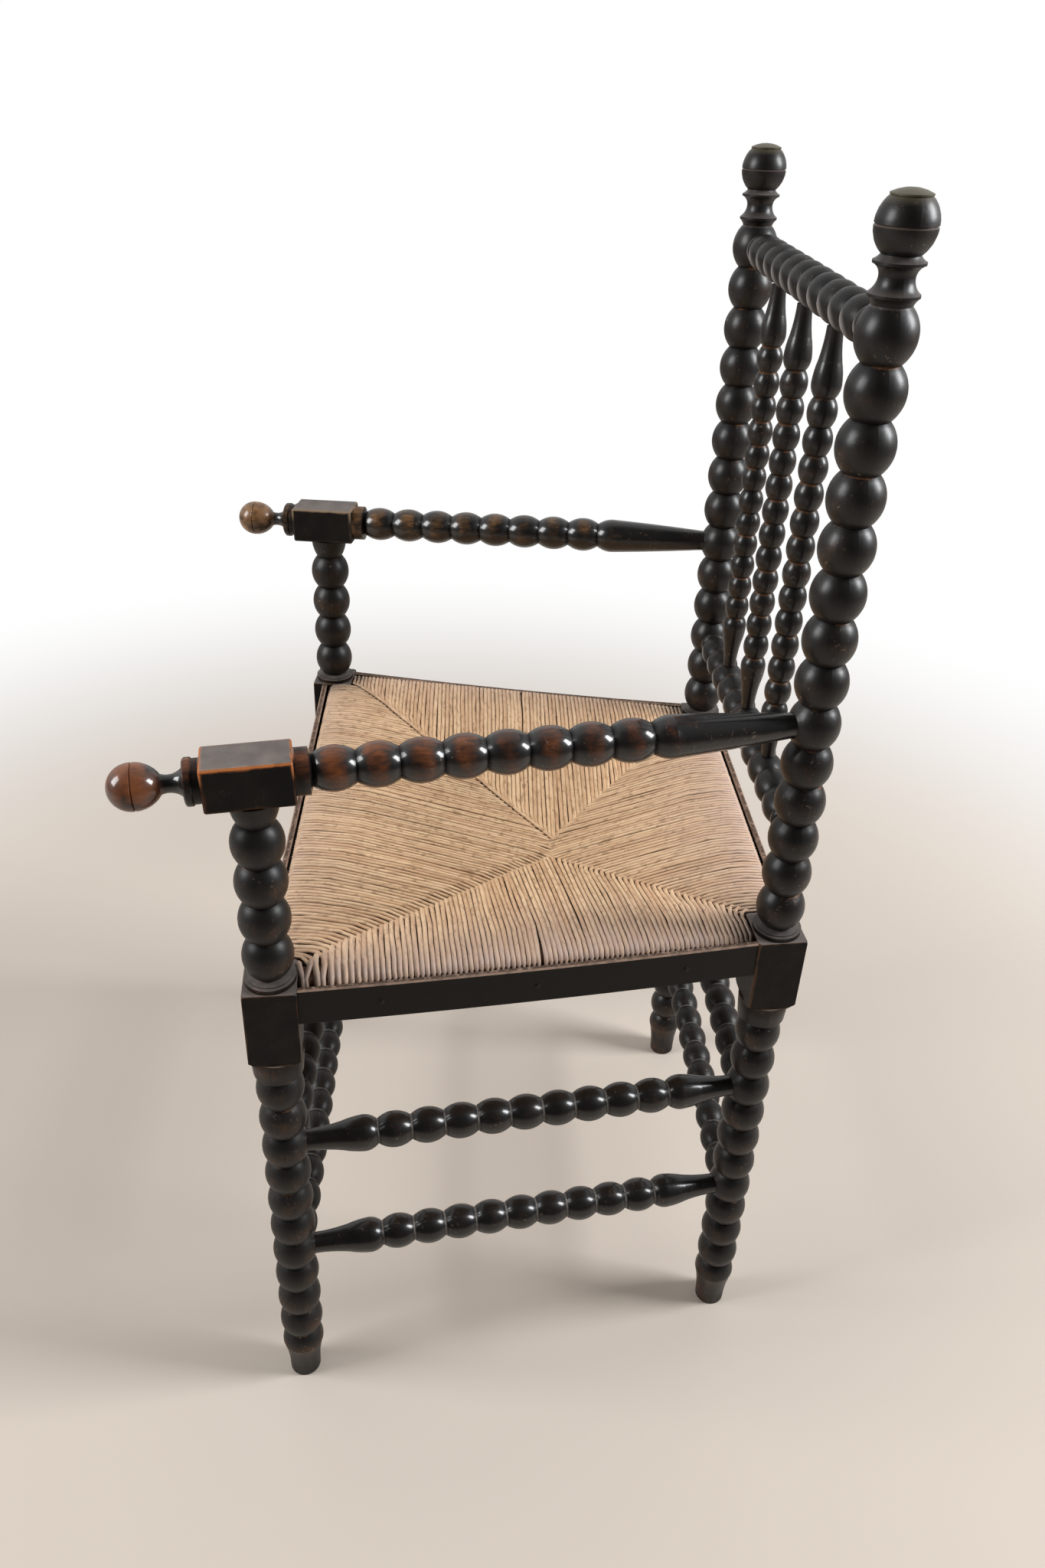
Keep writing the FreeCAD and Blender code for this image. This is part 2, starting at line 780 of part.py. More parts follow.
def nail(line, share):
    """Small round-headed nail through an edging strip and the rush into the rail."""
    at, inward = nail_line(line, share)
    outline = Turning(-nail_head_rise, 0)
    outline.dome_open(nail_head_diameter, nail_head_rise - seating_gap)
    outline.line(nail_shank_diameter, 0)
    outline.line(nail_shank_diameter, nail_length)
    return laid(outline.solid(), at, at + inward)


def nail_bores(line):
    """Cutters for the nails of one edging strip."""
    cutters = []
    for share in nail_shares:
        at, inward = nail_line(line, share)
        radius = (nail_shank_diameter + seating_gap) / 2
        start = at - inward * joint_clearance
        cutters.append(Part.makeCylinder(radius, nail_length + 2 * joint_clearance, start, inward))
    return cutters


def front_post(side, bores):
    """Front post trimmed to its arm, with the arm's tenon on top and its tenon holes bored."""
    piece = front_placed(turned_blank(front_upper), side)
    piece = piece.cut(arm_underside(side)).fuse(arm_dowel(side, 0)).removeSplitter()
    return piece.cut([floor_below(front_axis(side, 0))] + bores)


def rear_post(side, bores):
    """Leaning rear post with its tenon holes bored."""
    piece = rear_placed(turned_blank(rear_upper), side)
    return piece.cut([floor_below(rear_axis(side, 0))] + bores)


def floor_below(foot):
    """Cutter that levels the end of a foot on the floor."""
    size = 2 * block_width
    return Part.makeBox(size, size, size, foot - V(size / 2, size / 2, size))


def post_bores(side, is_rear, lines):
    """Cutters for every tenon that enters one post."""
    cutters = []
    for number in side_stretcher_beads:
        start, end = side_ends(side, number)
        ends = (end, start) if is_rear else (start, end)
        cutters.append(bore(*ends, side_end_diameter, tenon_stop))
    axis = rear_axis if is_rear else front_axis
    heights = [leg_notch_height(number) for number in cross_stretcher_beads]
    if is_rear:
        heights += [upper_bead_height(number) for number in (crest_rail_bead, lower_rail_bead)]
        start, end = arm_ends(side)
        cutters.append(bore(end, start, arm_end_diameter, tenon_stop))
    for height in heights:
        cutters.append(bore(axis(side, height), axis(-side, height), chain_tenon_diameter, tenon_stop))
    for line in lines.values():
        cutters += rail_bores(line)
    return cutters


def build():
    """All pieces of the chair by name."""
    lines = rail_lines()
    pieces = {}
    for name, side in side_names:
        pieces["front_" + name + "_post"] = front_post(side, post_bores(side, False, lines))
        pieces["rear_" + name + "_post"] = rear_post(side, post_bores(side, True, lines))
        pieces[name + "_arm"] = arm(side)
        for level, number in zip(("upper", "lower"), side_stretcher_beads):
            pieces[name + "_" + level + "_stretcher"] = side_stretcher(*side_ends(side, number))
    for name, axis in (("front", front_axis), ("rear", rear_axis)):
        for level, number in zip(("upper", "lower"), cross_stretcher_beads):
            ends = across(axis, leg_notch_height(number))
            pieces[name + "_" + level + "_stretcher"] = chain(*ends, [])
    for name, number, is_crest in (("crest_rail", crest_rail_bead, True),
                                   ("lower_back_rail", lower_rail_bead, False)):
        ends = across(rear_axis, upper_bead_height(number))
        pieces[name] = chain(*ends, spindle_bores(is_crest))
    for name, place in spindle_places():
        pieces[name + "_spindle"] = spindle(place)
    all_nail_bores = [cutter for line in lines.values() for cutter in nail_bores(line)]
    for name, line in lines.items():
        pieces[name + "_seat_rail"] = seat_rail(line).cut(nail_bores(line))
        pieces[name + "_edging"] = edging(line).cut(nail_bores(line))
    pieces["rush_seat"] = rush_seat(lines).cut(all_nail_bores)
    nails = [nail(line, share) for line in lines.values() for share in nail_shares]
    pieces["edging_nails"] = Part.makeCompound(nails)
    return pieces


def centred(pieces):
    """The pieces moved so that the chair stands on the floor about the middle of its box."""
    box = Part.makeCompound(list(pieces.values())).optimalBoundingBox(False, False)
    shift = V(-(box.XMin + box.XMax) / 2, -(box.YMin + box.YMax) / 2, -box.ZMin)
    return {name: shape.translated(shift) for name, shape in pieces.items()}


def main():
    os.makedirs("parts", exist_ok=True)
    for name, shape in centred(build()).items():
        box = shape.optimalBoundingBox(False, False)
        size = " x ".join("%.1f" % length for length in (box.XLength, box.YLength, box.ZLength))
        print(name, len(shape.Solids), "solids", "valid" if shape.isValid() else "NOT VALID", size,
              "volume %.0f" % shape.Volume)
        shape.exportStep("parts/" + name + ".step")


main()
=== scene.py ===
import math
import random
from dataclasses import dataclass
from functools import partial
from types import SimpleNamespace
from typing import Callable

import bpy
import numpy as np
from mathutils import Matrix, Vector


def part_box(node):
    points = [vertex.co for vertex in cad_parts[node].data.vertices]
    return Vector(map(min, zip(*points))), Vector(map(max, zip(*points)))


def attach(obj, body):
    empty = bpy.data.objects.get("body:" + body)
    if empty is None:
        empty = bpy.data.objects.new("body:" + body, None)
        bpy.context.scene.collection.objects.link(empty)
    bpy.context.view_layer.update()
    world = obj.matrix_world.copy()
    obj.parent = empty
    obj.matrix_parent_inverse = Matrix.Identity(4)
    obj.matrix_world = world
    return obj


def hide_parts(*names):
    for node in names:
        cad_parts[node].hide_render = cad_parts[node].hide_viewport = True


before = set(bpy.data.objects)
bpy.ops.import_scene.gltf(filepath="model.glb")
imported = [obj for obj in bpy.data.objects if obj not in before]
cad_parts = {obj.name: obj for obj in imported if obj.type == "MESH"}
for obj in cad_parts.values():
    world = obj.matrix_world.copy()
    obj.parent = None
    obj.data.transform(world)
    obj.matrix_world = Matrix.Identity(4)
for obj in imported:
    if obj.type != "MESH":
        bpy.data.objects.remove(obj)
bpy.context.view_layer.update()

bl_info = {
    "name": "Bobbin armchair finish",
    "version": (1, 0, 0),
    "blender": (4, 5, 0),
    "location": "View3D > Sidebar > Bobbin Chair",
    "description": "Finishes an ebonised bobbin-turned armchair and weaves its rush seat",
    "category": "Object",
}

MM = 0.001
UP = Vector((0, 0, 1))
BODY = "root"


def linear(hex_colour):
    """Linear red, green and blue of an sRGB hex colour."""
    shares = [int(hex_colour[place:place + 2], 16) / 255 for place in (1, 3, 5)]
    return [share / 12.92 if share <= 0.04045 else ((share + 0.055) / 1.055) ** 2.4 for share in shares]


def colour_property(name, description, hex_colour):
    """Colour setting of a finish."""
    return bpy.props.FloatVectorProperty(
        name=name, description=description, subtype="COLOR", size=3, min=0, max=1, default=linear(hex_colour))


def length_property(name, description, millimetres):
    """Length setting, kept in metres."""
    return bpy.props.FloatProperty(
        name=name, description=description, unit="LENGTH", precision=5, min=0, default=millimetres * MM)


def angle_property(name, description, degrees):
    """Angle setting, kept in radians."""
    return bpy.props.FloatProperty(
        name=name, description=description, subtype="ANGLE", default=math.radians(degrees))


class TurnedWoodSettings(bpy.types.PropertyGroup):
    """Colours of the ebonised turned wood."""
    black: colour_property("Ebonising", "Black stain under old polish", "#0e0c0b")
    soft_black: colour_property("Faded stain", "Stain that has faded to a warm black", "#191513")
    deep_brown: colour_property("Deep brown", "Brown where the stain of a leg is thin", "#2d1c13")
    leg_brown: colour_property("Leg brown", "Brown where the stain of a leg is gone", "#523722")
    rubbed_brown: colour_property("Rubbed brown", "Brown where hands have thinned the stain", "#3a2115")
    orange: colour_property("Orange brown", "Orange brown where hands have rubbed the stain off", "#744122")
    olive: colour_property("Olive brown", "Olive brown on the far arm", "#3a2919")
    olive_tan: colour_property("Olive tan", "Olive tan on the far arm", "#86603a")
    bare_edge: colour_property("Bare edge", "Pale brown of small chips and of the far arm's edges", "#8c7762")
    orange_edge: colour_property("Orange edge", "Orange wood on the edges of the near arm's block", "#b06a3a")
    grey_dust: colour_property("Dust", "Pale dust and wax left in a notch", "#8f8982")
    # Painted reflection: a pale sheen painted on the rails where they face down to the front
    rail_painted_sheen: colour_property("Rail haze", "Dull grey haze on the rails of the back", "#8e8886")
    tan_chip: colour_property("Chip", "Bare wood in a notch and on the edges of a post's block", "#7a5539")
    red_knob: colour_property("Near knob", "Red brown of the handled knob on the near arm", "#7d4a2e")
    tan_knob: colour_property("Far knob", "Tan brown of the handled knob on the far arm", "#97704e")
    groove_line: colour_property("Groove line", "Pale wax in the groove of a finial", "#6e6058")
    # Olive grey on top of the finials: dust, with a painted sheen for the light the caps catch
    cap_dust_and_sheen: colour_property("Finial dust", "Olive grey dust on top of the finials", "#5a5340")
    # Grey brown on upward faces: dust, with a painted sheen for the light that level faces catch
    top_dust_and_sheen: colour_property("Settled dust", "Grey brown dust on level faces", "#726964")


class EdgingSettings(bpy.types.PropertyGroup):
    """Colours of the edging strips, of their nails and of the seat rails behind them."""
    black: colour_property("Stain", "Black stain on the outside", "#14110f")
    # Darker brown in patches on the flat top beside the rush
    dark_top: colour_property("Dirty top", "Brown dirt on the top beside the rush", "#4a3a30")
    bare: colour_property("Bare edge", "Bare pinkish wood along the eased edge", "#907868")
    rail_dark: colour_property("Rail grain", "Dark grain of a seat rail", "#3a2718")
    rail_pale: colour_property("Rail wood", "Pale wood of a seat rail", "#6b4a2e")
    iron: colour_property("Iron", "Dark iron of a nail", "#1c1917")
    rust: colour_property("Rust", "Brown rust on a nail", "#33241a")


class RushSettings(bpy.types.PropertyGroup):
    """Sizes and colours of the woven rush."""
    cord_pitch: length_property("Cord pitch", "Distance between neighbouring cords", 3.9)
    corner_pitch: length_property("Corner pitch", "Distance between thick cords at the near front post", 5.4)
    cord_gap: length_property("Cord gap", "Room between a cord and the rail under it", 0.2)
    rail_round: length_property("Rail round", "Rounded edge of the seat rails", 4.0)
    block_width: length_property("Block width", "Width of the square seat blocks", 38.0)
    rim: length_property("Rim", "Distance from the outside to where the seat starts to sink", 14.0)
    bridge_setback: length_property("Bridge setback", "Middle of the seat behind the front posts", 216.0)
    bridge_half: length_property("Half bridge", "Half of the short line where front and rear meet", 12.0)
    top_sink: length_property("Top sink", "How far the top sags below the rails", 51.0)
    under_sink: length_property("Under sink", "How far the underside hangs below the rails", 36.0)
    seed: bpy.props.IntProperty(name="Seed", description="Start of the random drift of the cords", default=7)
    pale: colour_property("Pale rush", "Sunlit straw colour", "#dcba93")
    tan: colour_property("Tan rush", "Middle colour of the cords", "#c59d77")
    brown: colour_property("Brown rush", "Dark leaves twisted into the cords", "#86643f")
    soil: colour_property("Soil", "Pinkish grey dirt near the rails", "#bca396")
    # Painted shade: darkens the cords where shade falls in the corners and between the cords, with some grime
    grime_and_shade: colour_property("Grime", "Dark grime in the corners and between the cords", "#463b33")
    # Painted shade: the stuffing is coloured dark so that the gaps between the cords read as shade
    shaded_filling: colour_property("Filling", "Dark stuffing between the two layers", "#2c2118")
    deep_shaded_filling: colour_property("Deep filling", "Darkest part of the stuffing", "#17110c")


class StageSettings(bpy.types.PropertyGroup):
    """Floor colour and camera."""
    floor: colour_property("Floor", "Pale floor near the chair", "#bbb0a5")
    lens: bpy.props.FloatProperty(name="Lens", description="Focal length in mm", default=26.604, min=1)
    pitch: angle_property("Pitch", "Camera tilt below level", 32.08)
    yaw: angle_property("Yaw", "Camera turn towards the back", 3.838)
    roll: angle_property("Roll", "Camera roll", 3.018)
    eye: bpy.props.FloatVectorProperty(
        name="Eye", description="Camera's place from the middle of the front posts' line on the floor",
        subtype="TRANSLATION", size=3, default=(0.8613, 0.1292, 1.0249))


def add_node(tree, kind, inputs=None, output=0, **settings):
    """Adds a node with its settings, sets or links its inputs and returns an output, if it has any."""
    node = tree.nodes.new("ShaderNode" + kind)
    for name, value in settings.items():
        setattr(node, name, value)
    for socket, value in (inputs or {}).items():
        if isinstance(value, bpy.types.NodeSocket):
            tree.links.new(value, node.inputs[socket])
        else:
            node.inputs[socket].default_value = value
    return node.outputs[output] if node.outputs else None


def empty_tree(owner):
    """Empties the node tree of a material or world and returns the function that adds its nodes."""
    owner.use_nodes = True
    owner.node_tree.nodes.clear()
    return partial(add_node, owner.node_tree)


def make_material(name, finish, *facts):
    """New material with the shader of a finish, a function that adds the nodes."""
    material = bpy.data.materials.new(name)
    put = empty_tree(material)
    put("OutputMaterial", {"Surface": finish(put, *facts)})
    return material


def opaque(colour):
    """Colour with full opacity, as a colour socket takes it."""
    return (*colour, 1.0)


def dress(piece, material):
    """Gives a piece one material on all of its slots."""
    if not piece.material_slots:
        piece.data.materials.append(material)
    for slot in piece.material_slots:
        slot.material = material


def end_centre(points, runs, at):
    """Middle of the points that lie at one end of a piece."""
    near = points[np.abs(runs - at) < 0.4 * MM]
    return (near.min(axis=0) + near.max(axis=0)) / 2


def turning_axis(node):
    """Two ends of the axis on which a straight piece was turned."""
    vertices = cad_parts[node].data.vertices
    points = np.empty(len(vertices) * 3)
    vertices.foreach_get("co", points)
    points = np.unique(points.reshape(-1, 3).round(6), axis=0)
    longest = np.argmax(np.ptp(points, axis=0))
    way = np.eye(3)[longest]
    for _ in range(3):
        runs = points @ way
        first = end_centre(points, runs, runs.min())
        last = end_centre(points, runs, runs.max())
        way = (last - first) / np.linalg.norm(last - first)
    return Vector(first), Vector(last)


@dataclass
class TurnedLook:
    """Finish of one kind of turned piece. Sizes are in millimetres and colours are names of wood settings."""
    # Diameters of a bead and of the notch between two beads
    bead: float
    neck: float
    # Wear at places along the axis, and more of it on the upper side
    wear: tuple
    up_wear: float = 0.0
    # Browns where the stain is thin and where it is gone
    tones: tuple = ("deep_brown", "leg_brown")
    # Width of the grain, coarser than real grain so that it shows, and its squeeze along the axis
    grain_size: float = 1.6
    grain: float = 0.1
    # What lies in the notches, how much and how high, in what share of them, and the ends that are free of it
    dust: str = "grey_dust"
    dust_amount: float = 0.0
    dust_height: float = 0.9
    chip_share: float = 1.0
    bare_ends: tuple = (0.0, 0.0)
    # Square block: half its width, where it starts and ends, its bare edges, and the dust and painted sheen
    # on top
    block: tuple = None
    edge: str = "bare_edge"
    edge_wear: float = 0.0
    edge_width: float = 0.0
    edge_above: bool = False
    top_dust_and_sheen: float = 0.0
    dust_and_sheen_runs: tuple = ()
    # Handled knob at the start, cap with dust and painted sheen, and waxed groove at the end
    knob: str = None
    knob_length: float = 0.0
    cap: float = None
    groove_below_top: float = None
    # Painted reflection: a pale sheen painted on what faces down to the front
    painted_sheen: float = 0.0
    # Amount of polish and its roughness
    gloss: float = 0.7
    gloss_roughness: float = 0.24


def turned_places(put, node, look, turn):
    """Where a point is on a turned piece: its run along the axis, its place across, and three noises."""
    patch_size = 16 * MM
    speck_size = 2.5 * MM
    start, end = turning_axis(node)
    along = (end - start).normalized()
    level = along.cross(UP) if along.cross(UP).length > 0.5 else Vector((1, 0, 0))
    level = (level - along * level.dot(along)).normalized()
    level.rotate(Matrix.Rotation(turn, 3, along))
    over = level.cross(along)
    place = put("TexCoord", output="Object")
    offset = put("VectorMath", {0: place, 1: start}, operation="SUBTRACT")
    run, across, rise = [
        put("VectorMath", {0: offset, 1: way}, "Value", operation="DOT_PRODUCT")
        for way in (along, level, over)]
    section = put("CombineXYZ", {0: across, 1: rise})
    radius = put("VectorMath", {0: section}, "Value", operation="LENGTH")
    stretched = put("Math", {0: run, 1: look.grain}, operation="MULTIPLY")
    grain_place = put("CombineXYZ", {0: across, 1: rise, 2: stretched})
    grain, patch, speck = [
        put("TexNoise", {"Vector": vector, "Scale": 1 / size, "Detail": detail})
        for vector, size, detail in (
            (grain_place, look.grain_size * MM, 4.0), (place, patch_size, 3.0), (place, speck_size, 2.0))]
    return SimpleNamespace(
        run=run, across=across, rise=rise, radius=radius, grain=grain, patch=patch, speck=speck,
        length=(end - start).length, neck=look.neck / 2 * MM, bead=look.bead / 2 * MM)


def crown_wear(put, at, look):
    """Share of the stain that is rubbed off: more on crowns and where the look says, broken up by noise."""
    crown = put("MapRange", {
        "Value": at.radius, "From Min": at.neck + 0.3 * (at.bead - at.neck), "From Max": at.bead + 0.5 * MM},
        interpolation_type="SMOOTHSTEP")
    share = put("Math", {0: at.run, 1: at.length}, operation="DIVIDE")
    score = put("ValToRGB", {"Fac": share})
    ramp = score.node.color_ramp
    for index, (millimetres, worn) in enumerate(look.wear):
        element = ramp.elements[index] if index < 2 else ramp.elements.new(0.5)
        element.position = min(millimetres * MM / at.length, 1.0)
        element.color = (worn, worn, worn, 1.0)
    upper = put("Math", {0: at.rise, 1: at.radius}, operation="DIVIDE")
    for part, weight in ((crown, 0.55), (upper, look.up_wear), (at.patch, 0.7), (at.grain, 0.35)):
        score = put("Math", {0: part, 1: weight, 2: score}, operation="MULTIPLY_ADD")
    return put("MapRange", {
        "Value": score, "From Min": 1.12, "From Max": 1.8}, interpolation_type="SMOOTHSTEP")


def block_depths(put, at, look):
    """Depths of a point below the faces of the square block: across, up and along the axis."""
    half, low, high = [size * MM for size in look.block]
    depths = []
    for value, middle, reach in (
            (at.across, 0, half), (at.rise, 0, half), (at.run, (low + high) / 2, (high - low) / 2)):
        away = put("Math", {0: value, 1: middle}, operation="SUBTRACT")
        away = put("Math", {0: away}, operation="ABSOLUTE")
        depths.append(put("Math", {0: reach, 1: away}, operation="SUBTRACT"))
    return depths


def block_edges(put, at, look):
    """Bare edges of the square block, where the middle one of the depths below its faces is small."""
    raggedness = 4.4 * MM
    least_width = (look.edge_width - 1.4) * MM
    softness = (0.5 + 0.6 * look.edge_width) * MM
    half = look.block[0] * MM
    wide, tall, deep = at.depths
    least = put("Math", {0: wide, 1: tall}, operation="MINIMUM")
    most = put("Math", {0: wide, 1: tall}, operation="MAXIMUM")
    most = put("Math", {0: most, 1: deep}, operation="MINIMUM")
    edge = put("Math", {0: least, 1: most}, operation="MAXIMUM")
    ragged = put("Math", {0: at.patch, 1: raggedness, 2: least_width}, operation="MULTIPLY_ADD")
    rubbed = put("Math", {0: ragged, 1: edge}, operation="SUBTRACT")
    rubbed = put("MapRange", {
        "Value": rubbed, "From Min": -softness, "From Max": softness}, interpolation_type="SMOOTHSTEP")
    limits = [at.within, look.edge_wear]
    if look.edge_above:
        limits.append(put("MapRange", {
            "Value": at.rise, "From Min": 0.2 * half, "From Max": 0.8 * half, "To Min": 0.1}))
    for limit in limits:
        rubbed = put("Math", {0: rubbed, 1: limit}, operation="MULTIPLY")
    return rubbed


def stain_colour(put, at, look, worn):
    """Black stain that is faded in patches, and mottled brown where it is worn."""
    wood = bpy.context.scene.turned_wood
    faded = put("MapRange", {"Value": at.patch, "From Min": 0.35, "From Max": 0.7})
    black = put("MixRGB", {0: faded, 1: opaque(wood.black), 2: opaque(wood.soft_black)})
    mottle = put("Math", {0: at.grain, 1: at.patch}, operation="ADD")
    streak = put("MapRange", {"Value": mottle, "From Min": 0.7, "From Max": 1.35})
    thin, gone = [opaque(getattr(wood, tone)) for tone in look.tones]
    brown = put("MixRGB", {0: streak, 1: thin, 2: gone})
    return put("MixRGB", {0: worn, 1: black, 2: brown})


def handled_knob(put, at, look):
    """Patches of the knob that hands have rubbed bare."""
    fade = 2.0
    handled = put("MapRange", {
        "Value": at.run, "From Min": (look.knob_length - fade) * MM, "From Max": look.knob_length * MM,
        "To Min": 0.6, "To Max": 0.0})
    rubbed_spot = put("MapRange", {"Value": at.patch, "From Min": 0.4, "From Max": 0.62})
    return put("Math", {0: handled, 1: rubbed_spot}, operation="MULTIPLY")


def notch_dust(put, at, look):
    """Dust or bare wood in the notches between the beads, and the share of each notch that is left dull."""
    first, last = [size * MM for size in look.bare_ends]
    chip_start = 0.62 - 0.4 * look.chip_share
    chip_full = 0.7 - 0.4 * look.chip_share
    notch = put("MapRange", {
        "Value": at.radius, "From Min": at.neck + 0.2 * MM, "From Max": at.neck + look.dust_height * MM,
        "To Min": 1.0, "To Max": 0.0})
    deep = put("MapRange", {
        "Value": at.radius, "From Min": at.neck + 0.3 * MM, "From Max": at.neck + 1.8 * MM,
        "To Min": 0.8, "To Max": 0.0})
    from_first = put("Math", {0: at.run, 1: first}, operation="GREATER_THAN")
    to_last = put("Math", {0: at.run, 1: at.length - last}, operation="LESS_THAN")
    spotty = put("MapRange", {
        "Value": at.speck, "From Min": 0.3, "From Max": 0.6,
        "To Min": 0.5 * look.dust_amount, "To Max": look.dust_amount})
    chance = put("MapRange", {"Value": at.patch, "From Min": chip_start, "From Max": chip_full})
    for limit in (from_first, to_last):
        deep = put("Math", {0: deep, 1: limit}, operation="MULTIPLY")
    for limit in (from_first, to_last, spotty, chance):
        notch = put("Math", {0: notch, 1: limit}, operation="MULTIPLY")
    return notch, deep


def pale_flecks(put, at, look):
    """Small chips in clusters, fewer of them on a square block."""
    flecks = put("MapRange", {"Value": at.speck, "From Min": 0.64, "From Max": 0.72, "To Max": 0.4})
    limits = [put("MapRange", {"Value": at.patch, "From Min": 0.5, "From Max": 0.62})]
    if look.block:
        limits.append(put("MapRange", {"Value": at.within, "To Min": 1.0, "To Max": 0.25}))
    for limit in limits:
        flecks = put("Math", {0: flecks, 1: limit}, operation="MULTIPLY")
    return flecks


def finial_cap(put, at, look):
    """Dust and painted sheen on the cap of a finial."""
    fade = 6.0
    return put("MapRange", {
        "Value": at.run, "From Min": look.cap * MM, "From Max": (look.cap + fade) * MM, "To Max": 0.8})


def finial_groove(put, at, look):
    """Thin line of wax round the ball of a finial."""
    away = put("Math", {0: at.run, 1: at.length - look.groove_below_top * MM}, operation="SUBTRACT")
    away = put("Math", {0: away}, operation="ABSOLUTE")
    return put("MapRange", {
        "Value": away, "From Min": 0.2 * MM, "From Max": 0.7 * MM, "To Min": 0.6, "To Max": 0.0})


def painted_front_sheen(put, look):
    """Painted reflection: a pale sheen painted on what faces down to the front."""
    low_front = (-0.55, -0.75, -0.35)
    facing = put("NewGeometry", output="Normal")
    frontward = put("VectorMath", {0: facing, 1: low_front}, "Value", operation="DOT_PRODUCT")
    return put("MapRange", {
        "Value": frontward, "From Min": 0.58, "From Max": 0.9, "To Max": look.painted_sheen},
        interpolation_type="SMOOTHSTEP")


def settled_dust_and_sheen(put, at, look):
    """Dust and painted sheen on what faces upward: on the runs that the look names, then on the level faces
    of the block.
    """
    facing = put("NewGeometry", output="Normal")
    upward = put("SeparateXYZ", {0: facing}, "Z")
    layers = []
    for low, high in look.dust_and_sheen_runs:
        dust_and_sheen = put("MapRange", {"Value": upward, "From Min": 0.4, "From Max": 0.95, "To Max": 0.9})
        above = put("Math", {0: at.run, 1: low * MM}, operation="GREATER_THAN")
        below = put("Math", {0: at.run, 1: high * MM}, operation="LESS_THAN")
        layers.append((dust_and_sheen, (above, below, at.patch)))
    dust_and_sheen = put("MapRange", {"Value": upward, "From Min": 0.8, "From Max": 0.98, "To Max": look.top_dust_and_sheen})
    uneven = put("MapRange", {"Value": at.patch, "From Min": 0.3, "From Max": 0.7, "To Min": 0.65})
    layers.append((dust_and_sheen, (uneven, at.within)))
    shares = []
    for dust_and_sheen, limits in layers:
        for limit in limits:
            dust_and_sheen = put("Math", {0: dust_and_sheen, 1: limit}, operation="MULTIPLY")
        shares.append(dust_and_sheen)
    return shares


def ebonised_wood(put, node, look, turn):
    """Turned hardwood, stained black and polished: near black and satin, browner where it is rubbed on the
    crowns of the beads, with pale dust or bare wood in the notches and bare edges on the square blocks."""
    wood = bpy.context.scene.turned_wood
    at = turned_places(put, node, look, turn)
    worn = crown_wear(put, at, look)
    if look.block:
        at.depths = block_depths(put, at, look)
        at.within = put("MapRange", {"Value": at.depths[2], "From Min": -1.0 * MM, "From Max": 0.0})
        round_part = put("Math", {0: 1.0, 1: at.within}, operation="SUBTRACT")
        worn = put("Math", {0: worn, 1: round_part}, operation="MULTIPLY")

    # Layers of bare wood, dust, wax and painted sheen over the stain, each with its share and its colour
    layers = []
    if look.knob:
        layers.append((handled_knob(put, at, look), look.knob))
    if look.block:
        layers.append((block_edges(put, at, look), look.edge))
    notch, deep = notch_dust(put, at, look)
    layers.append((notch, look.dust))
    layers.append((pale_flecks(put, at, look), "bare_edge"))
    # Dust and painted sheen on the finial's cap
    if look.cap:
        layers.append((finial_cap(put, at, look), "cap_dust_and_sheen"))
    if look.groove_below_top:
        layers.append((finial_groove(put, at, look), "groove_line"))
    # Painted reflection: a pale sheen painted on faces that look down to the front
    if look.painted_sheen:
        layers.append((painted_front_sheen(put, look), "rail_painted_sheen"))
    if look.block:
        # Dust and painted sheen on the upward faces
        layers += [(share, "top_dust_and_sheen") for share in settled_dust_and_sheen(put, at, look)]
    colour = stain_colour(put, at, look, worn)
    for share, tone in layers:
        colour = put("MixRGB", {0: share, 1: colour, 2: opaque(getattr(wood, tone))})

    # Polish that is thinner where the stain is worn, and gone in the notches and on the block
    polish = put("Math", {0: worn, 1: -0.3 * look.gloss, 2: look.gloss}, operation="MULTIPLY_ADD")
    limits = [put("Math", {0: 1.0, 1: deep}, operation="SUBTRACT")]
    if look.block:
        beside = put("MapRange", {
            "Value": at.depths[2], "From Min": -13 * MM, "From Max": -5 * MM, "To Min": 1.0, "To Max": 0.2})
        limits += [round_part, beside]
    for limit in limits:
        polish = put("Math", {0: polish, 1: limit}, operation="MULTIPLY")

    # Stained wood is dull by itself, and the coat of polish gives the highlights
    dull = put("MapRange", {"Value": at.speck, "To Min": 0.42, "To Max": 0.58})
    relief = put("Math", {0: at.grain, 1: 0.15, 2: at.patch}, operation="MULTIPLY_ADD")
    bump = put("Bump", {"Height": relief, "Strength": 0.3, "Distance": 0.4 * MM})
    return put("BsdfPrincipled", {
        "Base Color": colour, "Roughness": dull, "Normal": bump, "IOR": 1.5, "Specular IOR Level": 0.14,
        "Coat Weight": polish, "Coat Roughness": look.gloss_roughness, "Coat Normal": bump})


